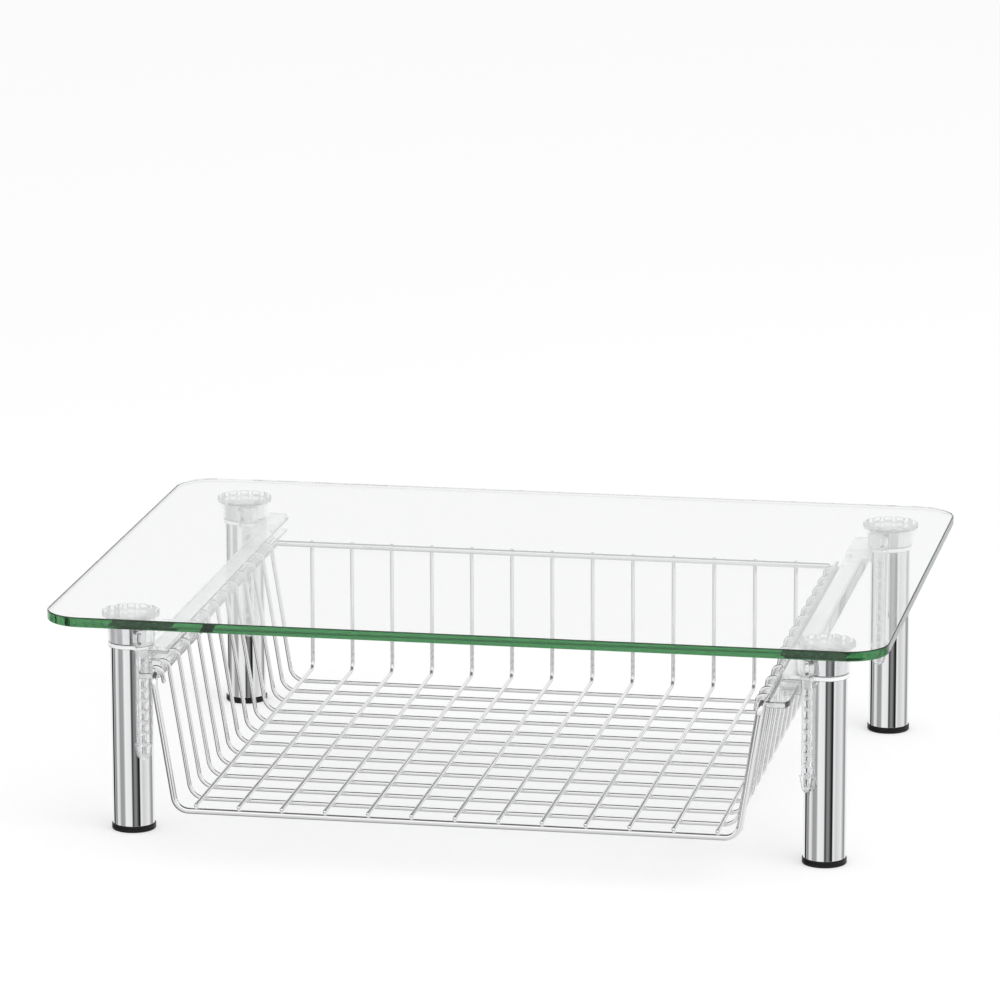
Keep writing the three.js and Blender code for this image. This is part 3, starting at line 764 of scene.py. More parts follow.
def wire_base(name, paths, radius):
    """Lines of corners with a bend radius each, as a mesh of edges that narrows to a dome at both ends"""
    mesh = bpy.data.meshes.new(name)
    points, edges, bends, sizes = [], [], [], []
    # (how far in from the end, thickness), both as shares of the radius
    dome = ((1.0, 1.0), (0.5, 0.866), (0.13, 0.5), (0.01, 0.12))
    for corners, bend_radii in paths:
        first = len(points)
        start, end = corners[0], corners[-1]
        outward = (start - corners[1]).normalized()
        leaving = (end - corners[-2]).normalized()
        steps = [(start - outward * radius * inset, size, 0.0) for inset, size in reversed(dome)]
        steps += [(corner, 1.0, bend) for corner, bend in zip(corners[1:-1], bend_radii)]
        steps += [(end - leaving * radius * inset, size, 0.0) for inset, size in dome]
        for point, size, bend in steps:
            points.append(point)
            sizes.append(size)
            bends.append(bend)
        edges.extend((n, n + 1) for n in range(first, len(points) - 1))
    mesh.from_pydata(points, edges, [])
    for label, values in (("bend", bends), ("thickness", sizes)):
        mesh.attributes.new(label, "FLOAT", "POINT").data.foreach_set("value", values)
    return mesh


class BasketLines:
    """Where the basket's wires run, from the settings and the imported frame"""

    def __init__(self, settings):
        self.settings = settings
        self.middle = MIDDLE_X
        self.rim_height = FRAME_HIGH.z - settings.frame_radius
        self.front = FRAME_LOW.y + settings.frame_radius
        self.rear = self.front + settings.depth
        self.frame_floor = self.rim_height - settings.height
        self.hook_radius = (CROSS_HIGH.z - settings.wire_radius) - self.rim_height
        self.cross_floor = CROSS_LOW.z + settings.wire_radius
        self.long_floor = LONG_LOW.z + settings.wire_radius
        self.hook_height = self.rim_height + self.hook_radius

    def at(self, x, y, z):
        return Vector((self.middle + x, y, z))

    def wall_reach(self, height):
        lean = self.settings.lean
        slant = math.hypot(1.0, lean)
        touch = self.settings.rim_half - self.hook_radius / slant
        touch_height = self.rim_height + self.hook_radius * lean / slant
        return touch + (height - touch_height) * lean

    def flat_floor(self):
        angle = math.pi / 2 - math.atan(self.settings.lean)
        return self.wall_reach(self.cross_floor) - self.settings.cross_bend * math.tan(angle / 2)

    def mirrored(self, corners, bends):
        """A path with its left half given, as corners (reach, y, z) and the bends after the first one"""
        left = [self.at(-reach, y, z) for reach, y, z in corners]
        right = [self.at(reach, y, z) for reach, y, z in reversed(corners)]
        return left + right, bends + bends[::-1]

    def frame_path(self):
        s = self.settings
        base = s.rim_half - s.height * s.lean
        return self.mirrored([
            (s.rim_half, self.rear + s.rim_tail, self.rim_height), (s.rim_half, self.front, self.rim_height),
            (base, self.front, self.frame_floor),
        ], [s.frame_top_bend, s.frame_bend])

    def cross_path(self):
        s = self.settings
        y = self.front + s.cross_pitch
        top, base = self.wall_reach(self.hook_height), self.wall_reach(self.cross_floor)
        return self.mirrored([
            (s.rim_half + s.hook_tail, y, self.hook_height), (top, y, self.hook_height),
            (base, y, self.cross_floor),
        ], [self.hook_radius, s.cross_bend])

    def long_path(self):
        s = self.settings
        x = -self.flat_floor()
        corners = [
            self.at(x, LONG_LOW.y, self.long_floor), self.at(x, self.rear, self.long_floor),
            self.at(x, self.rear, self.rim_height + s.rear_rise),
        ]
        return corners, [s.long_bend]

    def rear_path(self):
        low, high = box_of("basket_rear_wire")
        return [Vector((low.x, REAR_WIRE.y, REAR_WIRE.z)), Vector((high.x, REAR_WIRE.y, REAR_WIRE.z))], []

    def stop_path(self, side):
        s = self.settings
        foot = STOP_LOW.z
        corners = [
            self.at(side * (s.rim_half + s.hook_tail), STOP_Y, self.hook_height),
            self.at(side * self.wall_reach(self.hook_height), STOP_Y, self.hook_height),
            self.at(side * self.wall_reach(foot), STOP_Y, foot),
        ]
        return corners, [self.hook_radius]


# Operators, one for each piece or group of like pieces

def side_of(corner):
    return -1 if corner.endswith("left") else 1


def over_leg(corner, side=1):
    """From the origin to the axis of a leg, mirrored in X where side is -1"""
    place = LEG_PLACE[corner]
    return Matrix.Translation((place.x, place.y, 0.0)) @ Matrix.Diagonal((side, 1.0, 1.0, 1.0))


class STAND_OT_glass(bpy.types.Operator):
    """Makes the glass sheet and the clear bonds between it and the cups, films that paint the cups' shade and
    glints into the glass
    """

    bl_idname = "stand.glass"
    bl_label = "Glass top"

    def execute(self, context):
        s = context.scene.stand_glass
        width, depth = GLASS_HIGH.x - GLASS_LOW.x, GLASS_HIGH.y - GLASS_LOW.y
        low, high = GLASS_LOW.z, GLASS_HIGH.z
        film, film_gap, film_corner = 0.02 * MM, 0.04 * MM, 1.0 * MM
        rounding = quarter(s.edge_round, steps=5)
        rings = []
        lower = [(inset, low + rise) for inset, rise in reversed(rounding)]
        upper = [(inset, high - rise) for inset, rise in rounding]
        for inset, z in lower + upper:
            outline = rounded_outline(
                -width / 2 + inset, width / 2 - inset, -depth / 2 + inset, depth / 2 - inset,
                s.corner_radius - inset, steps=24,
            )
            rings.append([Vector((GLASS_MIDDLE.x + p.x, GLASS_MIDDLE.y + p.y, z)) for p in outline])
        bm = bmesh.new()
        bridge_rings(bm, rings)
        glass = finish_mesh("glass_sheet", bm, green_glass(s), sharp_degrees=30.0)
        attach(glass, "stand")
        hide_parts("glass_top")

        # films over each cup, which paint the cups' shade and glints into the glass
        bonds = bmesh.new()
        for corner in CORNERS:
            reach = [s.bond_outer, s.bond_inner] if corner.startswith("front") else [s.bond_rear, s.bond_rear]
            left, right = reach if corner.endswith("left") else reversed(reach)
            outline = rounded_outline(
                s.bond_shift - left, s.bond_shift + right, -s.bond_depth, s.bond_depth, film_corner, steps=4,
            )
            for level in (low + film_gap, high - film_gap - film):
                patch = thick_plate([outline], [], level, level + film, edge_round=0.0)
                add_parts(bonds, patch, over_leg(corner))
                patch.free()
        made = finish_mesh("cup_bonds", bonds, clear_bond(s), sharp_degrees=30.0)
        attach(made, "stand")
        return {"FINISHED"}


class STAND_OT_legs(bpy.types.Operator):
    """Makes the chrome tubes and the rubber foot caps"""

    bl_idname = "stand.legs"
    bl_label = "Legs and feet"

    def execute(self, context):
        s = context.scene.stand_legs
        chrome = plated_steel(
            "chrome", s.chrome, roughness=0.015, scale=60.0, stretch=(1.0, 1.0, 0.02), bump=0.05,
        )
        rubber = black_rubber(s)
        tube_gap, plug_play, plug_shoulder, plug_taper = 0.1 * MM, 0.3 * MM, 2.0 * MM, 1.5 * MM
        tread_width, tread_depth, top_round = 3.6 * MM, 0.6 * MM, 0.35 * MM
        groove_low, groove_high, groove_depth, groove_slope = 1.5 * MM, 2.2 * MM, 0.3 * MM, 0.2 * MM
        bore = s.tube_radius - s.tube_wall
        tube_low = s.foot_height + tube_gap
        tube = turned_shape(softened([
            (bore, tube_low), (s.tube_radius, tube_low), (s.tube_radius, TUBE_TOP), (bore, TUBE_TOP),
        ], s.tube_edge), TUBE_STEPS)
        outer, plug = s.foot_radius, bore - plug_play
        tread, groove = outer - tread_width, outer - groove_depth
        foot = turned_shape([
            (0, tread_depth), (tread - tread_depth, tread_depth), (tread, 0.0),
            *[(outer - inset, rise) for inset, rise in reversed(quarter(s.foot_round, steps=5))],
            (outer, groove_low), (groove, groove_low + groove_slope), (groove, groove_high - groove_slope),
            (outer, groove_high),
            *[(outer - inset, s.foot_height - rise) for inset, rise in quarter(top_round, steps=4)],
            (plug, s.foot_height), (plug, FOOT_TOP - plug_shoulder), (plug - plug_taper, FOOT_TOP),
            (0, FOOT_TOP),
        ], RING_STEPS)
        for corner in CORNERS:
            place = over_leg(corner)
            made = placed("chrome_tube_" + corner, tube, place, chrome)
            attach(made, "stand")
            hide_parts("leg_tube_" + corner)
            cap = placed("rubber_foot_" + corner, foot, place, rubber)
            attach(cap, "stand")
            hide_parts("foot_cap_" + corner)
        tube.free()
        foot.free()
        return {"FINISHED"}


class STAND_OT_cups(bpy.types.Operator):
    """Makes the clear cups with their notched flanges, and the plugs in the tubes"""

    bl_idname = "stand.cups"
    bl_label = "Leg cups"

    def execute(self, context):
        s = context.scene.stand_fittings
        legs = context.scene.stand_legs
        material = clear_plastic(
            "clear_cup", s.clear, roughness=0.003, grain=60.0, bump=0.006, clearness=1.0, line=0.01,
            bonded=0.9,
        )
        notch_slope, tooth_share, skirt_margin, flange_margin = 3.0, 1.7, 0.5 * MM, 0.1 * MM
        edge, plug_edge, plug_gap, plug_depth, plug_sink = 0.6 * MM, 0.3 * MM, 0.05 * MM, 2.5 * MM, 0.1 * MM
        bore = legs.tube_radius + s.bore_play
        web = TUBE_TOP + s.air_gap
        top = CUP_HIGH.z - s.air_gap
        flange_low = top - s.flange_height
        outer = bore + s.skirt_wall
        flange = s.flange_radius

        def notched(radius, height, angle):
            """Draws the flange's rim in at the notches, and less the nearer a point lies to the skirt"""
            if radius < s.skirt_top + skirt_margin or height < flange_low - flange_margin:
                return radius
            tooth = min(1.0, max(0.0, math.cos(angle * s.notch_count) * notch_slope + tooth_share))
            outward = (radius - s.skirt_top) / (flange - s.skirt_top)
            return radius - s.notch_depth * (1 - tooth) * outward

        cup = turned_shape(softened([
            (0, web), (bore, web), (bore, CUP_LOW.z), (outer, CUP_LOW.z), (s.skirt_top, flange_low),
            (flange, flange_low), (flange, top), (0, top),
        ], edge), CUP_STEPS, notched)
        for corner in CORNERS:
            made = placed("clear_cup_" + corner, cup, over_leg(corner), material, sharp_degrees=50.0)
            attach(made, "stand")
            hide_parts("leg_cup_" + corner)
        cup.free()
        # the rear plugs take a grey copy of the pale plastic, as painted shade
        plugs = {"front": pale_plastic("pale_plug", s.pale), "rear": pale_plastic("grey_plug", s.rear_plug_shaded)}
        inner = legs.tube_radius - legs.tube_wall - plug_gap
        low, high = TUBE_TOP - plug_depth, TUBE_TOP - plug_sink
        plug = softened([(0, low), (inner, low), (inner, high), (0, high)], plug_edge)
        plug = turned_shape(plug, RING_STEPS)
        for corner in CORNERS:
            made = placed("tube_plug_" + corner, plug, over_leg(corner), plugs[corner.split("_")[0]])
            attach(made, "stand")
        plug.free()
        return {"FINISHED"}


class STAND_OT_brackets(bpy.types.Operator):
    """Makes the clear brackets, each a ring, a rail plate and a slotted lug, and their pale collars"""

    bl_idname = "stand.brackets"
    bl_label = "Brackets"

    def execute(self, context):
        s = context.scene.stand_fittings
        tube = context.scene.stand_legs.tube_radius
        material = clear_plastic(
            "clear_bracket", s.clear, roughness=0.006, grain=50.0, bump=0.01, clearness=0.85, line=0.05,
        )
        collar_overlap, collar_rise, collar_drop, collar_edge = 0.15 * MM, 0.2 * MM, 0.1 * MM, 0.6 * MM
        plate_inset, plate_reach = 0.5 * MM, 2.6 * MM
        slot_play, slot_corner, lug_margin, lug_root = 0.3 * MM, 0.3 * MM, 1.4 * MM, 6.0 * MM
        bore = tube + s.bore_play
        low, high = BRACKET_LOW.z + s.air_gap, BRACKET_HIGH.z
        pale = pale_plastic("pale_collar", s.pale)
        collar_low, collar_high = low + collar_rise, high - collar_drop
        collar_inner, collar_outer = bore - collar_overlap, bore + s.collar_wall
        collar = turned_shape(softened([
            (collar_inner, collar_low), (collar_outer, collar_low), (collar_outer, collar_high),
            (collar_inner, collar_high),
        ], collar_edge, steps=4), RING_STEPS)
        strap_back = tube + s.strap_standoff
        slot_half = s.strap_width / 2 + slot_play
        slot_rear = -strap_back + slot_play
        slot_front = -strap_back - s.strap_thickness - slot_play
        lug_half, lug_front = slot_half + lug_margin, slot_front - lug_margin
        ring, hole = circle_outline(bore + s.ring_wall, RING_STEPS), circle_outline(bore, RING_STEPS)
        for corner in CORNERS:
            # shaped as on the right, and mirrored for the left
            front = corner.startswith("front")
            leg = LEG_PLACE["front_right" if front else "rear_right"]
            inner = RAIL_LOW.x + plate_inset - leg.x
            outer = RAIL_HIGH.x + plate_reach - leg.x
            if front:
                near = RAIL_LOW.y - leg.y
                far = near + s.plate_length
            else:
                far = RAIL_HIGH.y - leg.y
                near = far - s.plate_length
            angle = -(s.turn_front if front else s.turn_rear)
            plate = rounded_outline(inner, outer, near, far, s.plate_corner, steps=8)
            lug = rounded_outline(-lug_half, lug_half, lug_front, -lug_root, s.plate_corner, steps=8)
            slot = rounded_outline(-slot_half, slot_half, slot_front, slot_rear, slot_corner, steps=3)
            lug, slot = rotated(lug, angle), rotated(slot, angle)
            part = thick_plate([ring, plate, lug], [hole, slot], low, high, s.moulded_edge)
            matrix = over_leg(corner, side_of(corner))
            made = placed("clear_bracket_" + corner, part, matrix, material)
            part.free()
            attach(made, "stand")
            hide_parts("leg_bracket_" + corner)
            band = placed("pale_collar_" + corner, collar, matrix, pale)
            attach(band, "stand")
        collar.free()
        return {"FINISHED"}


class STAND_OT_straps(bpy.types.Operator):
    """Makes the windowed straps that hang through the brackets"""

    bl_idname = "stand.straps"
    bl_label = "Straps"

    def execute(self, context):
        s = context.scene.stand_fittings
        tube = context.scene.stand_legs.tube_radius
        material = clear_plastic(
            "clear_strap", s.clear, roughness=0.006, grain=60.0, bump=0.01, clearness=0.75, line=0.05,
        )
        tail_in_head, tail_edge, barb_reach, barb_height = 1.2 * MM, 0.25 * MM, 1.6 * MM, 5.7 * MM
        first_window, window_corner = 6.0 * MM, 0.5 * MM
        head_half, head_corner, head_thickness, head_edge = 6.4 * MM, 2.4 * MM, 3.8 * MM, 0.5 * MM
        slot_near, slot_far, slot_half, slot_corner = 2.6 * MM, 5.4 * MM, 3.5 * MM, 1.35 * MM
        half = s.strap_width / 2
        bottom, top = STRAP_LOW.z, STRAP_HIGH.z
        head_bottom = BRACKET_HIGH.z + s.air_gap
        tail_top = head_bottom + tail_in_head
        tip = bottom + half
        barb, barb_top = half + barb_reach, tip + barb_height
        outline = [(half, tail_top), (-half, tail_top), (-half, barb_top), (-barb, barb_top)]
        tip_steps = 16
        for n in range(tip_steps + 1):
            angle = math.pi + math.pi * n / tip_steps
            outline.append((half * math.cos(angle), tip + half * math.sin(angle)))
        outline += [(barb, barb_top), (half, barb_top)]
        outline = [Vector(point) for point in outline]
        windows = []
        for n in range(s.window_count):
            middle = bottom + first_window + n * s.window_pitch
            windows.append(rounded_outline(
                -s.window_width / 2, s.window_width / 2, middle - s.window_height / 2,
                middle + s.window_height / 2, window_corner, steps=4,
            ))
        back = -(tube + s.strap_standoff)
        tail = thick_plate([outline], windows, back - s.strap_thickness, back, tail_edge, edge_steps=2)
        head_back = -(s.skirt_top + s.bore_play)
        head_outline = rounded_outline(-head_half, head_half, head_bottom, top, head_corner, steps=10)
        slot_middle = (head_bottom + top) / 2
        slot = rounded_outline(
            slot_near, slot_far, slot_middle - slot_half, slot_middle + slot_half, slot_corner, steps=8,
        )
        head = thick_plate(
            [head_outline], [slot], head_back - head_thickness, head_back, head_edge, edge_steps=4,
        )
        stand_up = Matrix(((1, 0, 0, 0), (0, 0, 1, 0), (0, 1, 0, 0), (0, 0, 0, 1)))
        for corner in CORNERS:
            turn_by = -(s.turn_front if corner.startswith("front") else s.turn_rear)
            matrix = over_leg(corner, side_of(corner)) @ Matrix.Rotation(turn_by, 4, "Z") @ stand_up
            bm = bmesh.new()
            add_parts(bm, tail, matrix)
            add_parts(bm, head, matrix)
            made = finish_mesh("clear_strap_" + corner, bm, material)
            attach(made, "stand")
            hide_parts("toothed_strap_" + corner)
        tail.free()
        head.free()
        return {"FINISHED"}


class STAND_OT_rails(bpy.types.Operator):
    """Makes the clear side rails and the runners that slide in them"""

    bl_idname = "stand.rails"
    bl_label = "Rails and runners"

    def execute(self, context):
        s = context.scene.stand_rails
        clear = context.scene.stand_fittings.clear
        rail_material = clear_plastic(
            "clear_rail", clear, roughness=0.004, grain=30.0, bump=0.008, clearness=0.85, line=0.04,
        )
        runner_material = clear_plastic(
            "clear_runner", clear, roughness=0.004, grain=40.0, bump=0.008, clearness=1.0, line=0.04,
        )
        rail_end, runner_end, runner_corner = 0.3 * MM, 0.4 * MM, 0.6 * MM
        inner, outer = RAIL_LOW.x - MIDDLE_X, RAIL_HIGH.x - MIDDLE_X
        top, lip_low = RAIL_HIGH.z, RAIL_LOW.z
        channel_top, lip_top = top - s.wall, lip_low + s.wall
        wall, lip = outer - s.wall, inner + s.lip_inset
        rail = bar([
            (inner, channel_top), (wall, channel_top), (wall, lip_top), (lip, lip_top), (lip, lip_low),
            (outer, lip_low), (outer, top), (inner, top),
        ], RAIL_LOW.y, RAIL_HIGH.y, s.corner, rail_end)
        ledge, edge = RUNNER_LOW.x - MIDDLE_X, RUNNER_HIGH.x - MIDDLE_X
        high, low = RUNNER_HIGH.z, RUNNER_LOW.z
        runner = bar([
            (ledge, high - s.ledge_thickness), (ledge + s.ledge_width, low), (edge, low), (edge, high),
            (ledge, high),
        ], RUNNER_LOW.y, RUNNER_HIGH.y, runner_corner, runner_end)
        nose_end = RUNNER_LOW.y + s.nose_length
        bmesh.ops.bisect_plane(
            runner, geom=runner.verts[:] + runner.edges[:] + runner.faces[:], plane_co=(0.0, nose_end, 0.0),
            plane_no=(0.0, 1.0, 0.0),
        )
        for vert in runner.verts:
            nose = max(0.0, nose_end - vert.co.y) / s.nose_length
            if vert.co.x > (ledge + edge) / 2:
                vert.co.x -= nose * s.nose_taper
        for side, hand in ((-1, "left"), (1, "right")):
            matrix = Matrix.Translation((MIDDLE_X, 0.0, 0.0)) @ Matrix.Diagonal((side, 1.0, 1.0, 1.0))
            made = placed("clear_rail_" + hand, rail, matrix, rail_material)
            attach(made, "stand")
            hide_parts("side_rail_" + hand)
            strip = placed("clear_runner_" + hand, runner, matrix, runner_material)
            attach(strip, "drawer")
            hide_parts("runner_" + hand)
        rail.free()
        runner.free()
        return {"FINISHED"}


class STAND_OT_basket(bpy.types.Operator):
    """Makes the bent wires of the basket and the welds between them"""

    bl_idname = "stand.basket"
    bl_label = "Wire basket"

    def execute(self, context):
        s = context.scene.stand_basket
        lines = BasketLines(s)
        plated = plated_steel(
            "plated_wire", s.plating, roughness=0.045, scale=25.0, stretch=(1.0, 1.0, 1.0), bump=0.01,
        )
        wire, bead = wire_tree(), bead_tree()
        cross_names = [f"cross_wire_{n:02d}" for n in range(1, s.cross_count + 1)]
        long_names = [f"long_wire_{n:02d}" for n in range(1, s.long_count + 1)]
        long_step = 2 * lines.flat_floor() / (s.long_count - 1)

        thick, thin = (s.frame_radius, THICK_SIDES), (s.wire_radius, THIN_SIDES)
        across, along = (0, s.cross_pitch, 0), (long_step, 0, 0)
        stops = [lines.stop_path(-1), lines.stop_path(1)]

        def bent(name, paths, gauge, bend_steps, copies=1, step=(0, 0, 0)):
            radius, sides = gauge
            return grown(name, wire_base(name, paths, radius), wire, {
                "Wire radius": radius, "Wire sides": sides, "Bend steps": bend_steps, "Copies": copies,
                "Step to next": step, "Material": plated,
            })

        made = (
            (bent("frame_rod", [lines.frame_path()], thick, bend_steps=14), ["basket_frame_wire"]),
            (bent("rear_rod", [lines.rear_path()], thick, bend_steps=1), ["basket_rear_wire"]),
            (bent("cross_rods", [lines.cross_path()], thin, 12, s.cross_count, across), cross_names),
            (bent("long_rods", [lines.long_path()], thin, 10, s.long_count, along), long_names),
            (bent("stop_rods", stops, thin, bend_steps=10), ["stop_hook_left", "stop_hook_right"]),
        )
        for piece, nodes in made:
            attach(piece, "drawer")
            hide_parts(*nodes)
        welds = bpy.data.meshes.new("weld_places")
        welds.from_pydata(self.weld_places(s, lines, long_step), [], [])
        beads = grown("weld_beads", welds, bead, {
            "Bead radius": s.weld_radius, "Bead shape": (1.0, 1.0, 0.8), "Material": plated,
        })
        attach(beads, "drawer")
        return {"FINISHED"}

    def weld_places(self, s, lines, long_step):
        between = (lines.cross_floor + lines.long_floor) / 2
        long_places = [-lines.flat_floor() + m * long_step for m in range(s.long_count)]
        places = []
        for n in range(s.cross_count):
            y = lines.front + (n + 1) * s.cross_pitch
            for x in long_places:
                places.append(lines.at(x, y, between))
            for side in (-1, 1):
                places.append(lines.at(side * s.rim_half, y, lines.rim_height + s.frame_radius))
        for x in long_places:
            places.append(lines.at(x, lines.front, lines.frame_floor + s.frame_radius))
            places.append(lines.at(x, (REAR_WIRE.y + lines.rear) / 2, lines.rim_height))
        for side in (-1, 1):
            places.append(lines.at(side * s.rim_half, STOP_Y, lines.rim_height + s.frame_radius))
        return places


class STAND_OT_stage(bpy.types.Operator):
    """Makes the floor, the light and the camera"""

    bl_idname = "stand.stage"
    bl_label = "Stage"

    def execute(self, context):
        s = context.scene.stand_stage
        scene = context.scene
        self.floor(s)
        self.world(scene, s)
        self.key_light(s)
        self.camera(scene, s)
        scene.view_settings.view_transform = "Standard"
        scene.cycles.max_bounces = 40
        scene.cycles.diffuse_bounces = 4
        scene.cycles.glossy_bounces = 32
        scene.cycles.transmission_bounces = 32
        scene.cycles.transparent_max_bounces = 32
        return {"FINISHED"}

    def floor(self, s):
        half = s.floor_size / 2
        bm = bmesh.new()
        bm.faces.new([bm.verts.new(point) for point in (
            (-half, -half, 0.0), (half, -half, 0.0), (half, half, 0.0), (-half, half, 0.0))])
        made = finish_mesh("pale_floor", bm, floor_material(s))

    def world(self, scene, s):
        """Plain light for dull surfaces, a white room for the camera, and dark flags for what shines"""
        world = bpy.data.worlds.new("studio")
        world.use_nodes = True
        tree = world.node_tree
        tree.nodes.clear()
        nodes = Nodes(tree)
        output = nodes.add("ShaderNodeOutputWorld")
        heading = nodes.add("ShaderNodeTexCoord").outputs["Generated"]
        towards = (math.sin(s.camera_yaw), -math.cos(s.camera_yaw), 0.0)
        rightwards = (math.cos(s.camera_yaw), math.sin(s.camera_yaw), 0.0)
        front = self.dot(nodes, heading, towards)
        right = self.dot(nodes, heading, rightwards)
        up = nodes.add("ShaderNodeSeparateXYZ", Vector=heading).outputs["Z"]

        around = nodes.spread(nodes.sums("ARCTAN2", right, front), -math.pi, math.pi)
        over = nodes.spread(nodes.sums("ARCTAN2", up, front), -math.pi, math.pi)
        ceiling = self.bands(nodes, over, (
            (-180, 0.85), (0, 0.85), (25, 0.85), (36, 1.1), (68, 1.1), (74, 0.16), (120, 0.1),
            (148, 0.2), (157, 0.95), (180, 0.95),
        ))
        sideways = nodes.spread(nodes.sums("ABSOLUTE", right, 0.0), 0.72, 0.86)
        ceiling = nodes.mix_colours(sideways, ceiling, (0.92, 0.92, 0.92))
        wall = self.bands(nodes, around, (
            (-180, 0.95), (-173, 0.9), (-166, 0.25), (-138, 0.12), (-92, 0.12), (-62, 0.5), (0, 0.75),
            (60, 0.88), (110, 0.9), (150, 0.5), (166, 0.3), (173, 0.9), (180, 0.95),
        ))
        flags = self.bands(nodes, around, (
            (-180, 0.95), (-137, 0.95), (-132, 0.01), (-119, 0.01), (-115, 0.6), (-108, 0.24), (-103, 0.3),
            (-96, 0.6), (-90, 0.92), (-76, 0.72), (-70, 0.36), (-48, 0.4), (-40, 0.97), (-8, 0.9), (-3, 0.1),
            (2, 0.06), (8, 0.24), (18, 0.26), (25, 0.1), (31, 0.015), (38, 0.015), (43, 0.95), (58, 0.7),
            (96, 0.92), (107, 0.52), (118, 0.34), (128, 0.36), (136, 0.95), (180, 0.95),
        ))
        ground = self.bands(nodes, around, (
            (-180, 0.78), (-165, 0.6), (-145, 0.1), (-92, 0.1), (-62, 0.5), (0, 0.7), (60, 0.82), (110, 0.95),
            (150, 0.8), (180, 0.78),
        ))
        # each layer takes over from the one below it between two heights of the ray
        shine = ground
        for low, high, layer in ((-0.345, -0.3, flags), (-0.14, -0.1, wall), (0.02, 0.1, ceiling)):
            shine = nodes.mix_colours(nodes.spread(up, low, high), shine, layer)

        # clear pieces show the white room behind the stand, and paler flags unless the ray has gone deep
        behind = nodes.spread(front, -0.55, -0.8)
        path = nodes.add("ShaderNodeLightPath").outputs
        above, below = nodes.spread(up, -0.36, -0.3), nodes.spread(up, -0.14, -0.08, 1.0, 0.0)
        deep = nodes.spread(path["Transmission Depth"], 3.0, 4.0)
        sharp = nodes.sums("MULTIPLY", nodes.sums("MULTIPLY", above, below), deep)
        through = nodes.mix_colours(sharp, nodes.mix_colours(0.65, shine, WHITE), shine)
        clear = nodes.mix_colours(behind, through, WHITE)
        clear = nodes.mix_colours(nodes.spread(up, 0.1, 0.3), clear, shine)
        mirrored = nodes.sums("MINIMUM", path["Glossy Depth"], 1.0)
        even = nodes.mix_colours(path["Is Camera Ray"], (s.dome, s.dome, s.dome), WHITE)
        seen = nodes.mix_colours(mirrored, even, shine)
        seen = nodes.mix_colours(path["Is Transmission Ray"], seen, clear)
        nodes.feed(output, "Surface", nodes.add("ShaderNodeBackground", Color=seen, Strength=1.0))
        scene.world = world

    def dot(self, nodes, vector, constant):
        made = nodes.add("ShaderNodeVectorMath", {"operation": "DOT_PRODUCT"})
        nodes.feed(made, 0, vector)
        nodes.feed(made, 1, constant)
        return made.outputs["Value"]

    def bands(self, nodes, value, stops):
        """Grey bands by angle: each stop is (degrees, brightness)"""
        made = nodes.add("ShaderNodeValToRGB", Fac=value)
        ramp = made.color_ramp
        ramp.interpolation = "LINEAR"
        while len(ramp.elements) > 1:
            ramp.elements.remove(ramp.elements[0])
        for index, (degrees, level) in enumerate(stops):
            place = (degrees + 180) / 360
            stop = ramp.elements[0] if index == 0 else ramp.elements.new(place)
            stop.position = place
            stop.color = (level, level, level, 1.0)
        return made.outputs["Color"]

    def key_light(self, s):
        lamp = bpy.data.lights.new("soft_key", "AREA")
        lamp.shape = "RECTANGLE"
        lamp.size = s.key_width
        lamp.size_y = s.key_height
        lamp.energy = s.key_power
        made = bpy.data.objects.new("soft_key", lamp)
        bpy.context.scene.collection.objects.link(made)
        place = Vector((s.key_right, -s.key_front, s.key_up))
        made.location = place
        made.rotation_euler = (GLASS_MIDDLE - place).to_track_quat("-Z", "Y").to_euler()
        made.visible_glossy = False
        made.visible_transmission = False

    def camera(self, scene, s):
        data = bpy.data.cameras.new("camera")
        data.sensor_width = s.camera_sensor
        data.lens = s.camera_lens
        data.clip_end = s.camera_reach
        made = bpy.data.objects.new("camera", data)
        scene.collection.objects.link(made)
        place = Vector((GLASS_MIDDLE.x + s.camera_across, GLASS_MIDDLE.y - s.camera_back, s.camera_height))
        turned = (
            Matrix.Rotation(s.camera_yaw, 4, "Z") @ Matrix.Rotation(math.pi / 2 - s.camera_pitch, 4, "X")
            @ Matrix.Rotation(s.camera_roll, 4, "Z")
        )
        made.matrix_world = Matrix.Translation(place) @ turned
        scene.camera = made


class STAND_PT_panel(bpy.types.Panel):
    """Lists the pieces of the stand"""

    bl_idname = "STAND_PT_panel"
    bl_label = "Glass stand"
    bl_space_type = "VIEW_3D"
    bl_region_type = "UI"
    bl_category = "Glass stand"

    def draw(self, context):
        for settings, operators in GROUPS:
            box = self.layout.box()
            group = getattr(context.scene, settings)
            for field in group.__annotations__:
                box.prop(group, field)
            for operator in operators:
                box.operator(operator.bl_idname)


GROUPS = (
    ("stand_glass", (STAND_OT_glass,)),
    ("stand_legs", (STAND_OT_legs,)),
    ("stand_fittings", (STAND_OT_cups, STAND_OT_brackets, STAND_OT_straps)),
    ("stand_rails", (STAND_OT_rails,)),
    ("stand_basket", (STAND_OT_basket,)),
    ("stand_stage", (STAND_OT_stage,)),
)
SETTINGS = {
    "stand_glass": GlassSettings,
    "stand_legs": LegSettings,
    "stand_fittings": FittingSettings,
    "stand_rails": RailSettings,
    "stand_basket": BasketSettings,
    "stand_stage": StageSettings,
}


def register():
    for name, group in SETTINGS.items():
        bpy.utils.register_class(group)
        setattr(bpy.types.Scene, name, bpy.props.PointerProperty(type=group))
    for _, operators in GROUPS:
        for operator in operators:
            bpy.utils.register_class(operator)
    bpy.utils.register_class(STAND_PT_panel)


def unregister():
    bpy.utils.unregister_class(STAND_PT_panel)
    for _, operators in reversed(GROUPS):
        for operator in reversed(operators):
            bpy.utils.unregister_class(operator)
    for name, group in SETTINGS.items():
        delattr(bpy.types.Scene, name)
        bpy.utils.unregister_class(group)


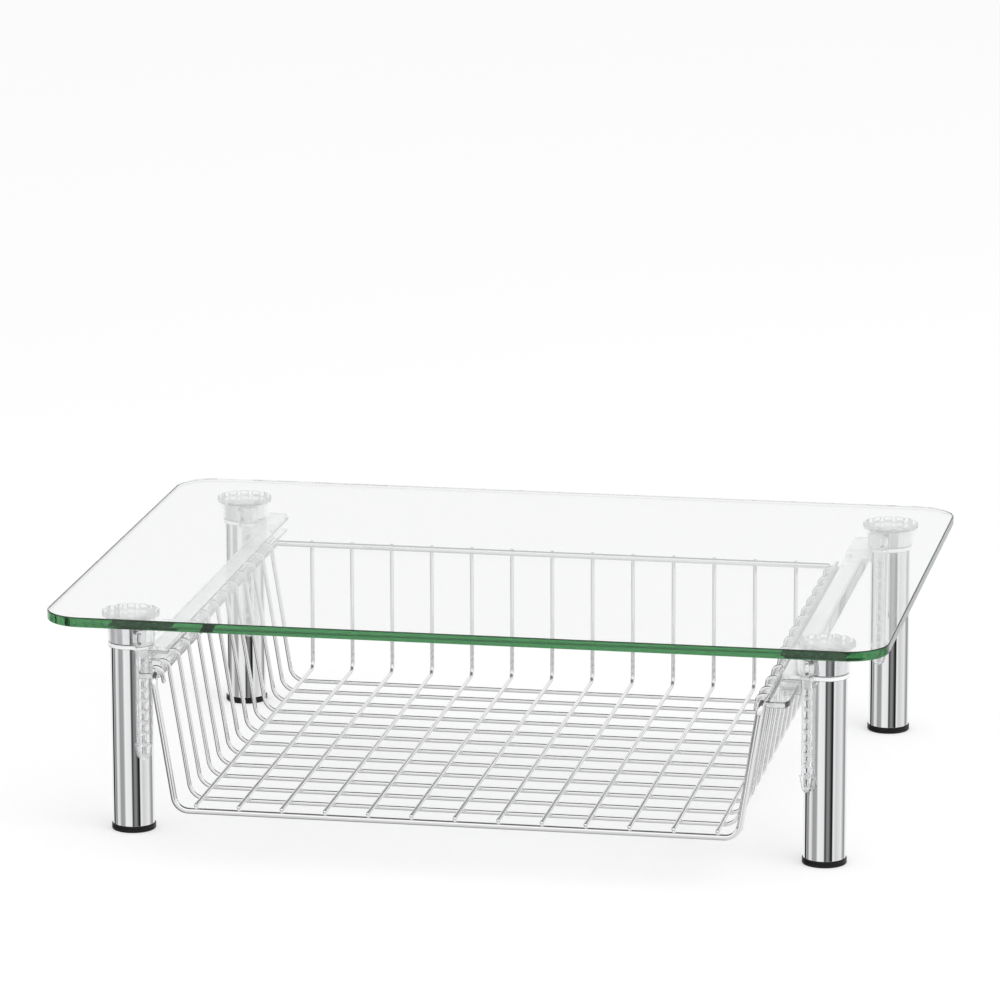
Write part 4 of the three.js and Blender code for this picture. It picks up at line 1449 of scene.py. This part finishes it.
def main():
    register()
    bpy.ops.stand.stage()
    bpy.ops.stand.glass()
    bpy.ops.stand.legs()
    bpy.ops.stand.cups()
    bpy.ops.stand.brackets()
    bpy.ops.stand.straps()
    bpy.ops.stand.rails()
    bpy.ops.stand.basket()


if __name__ == "__main__":
    main()
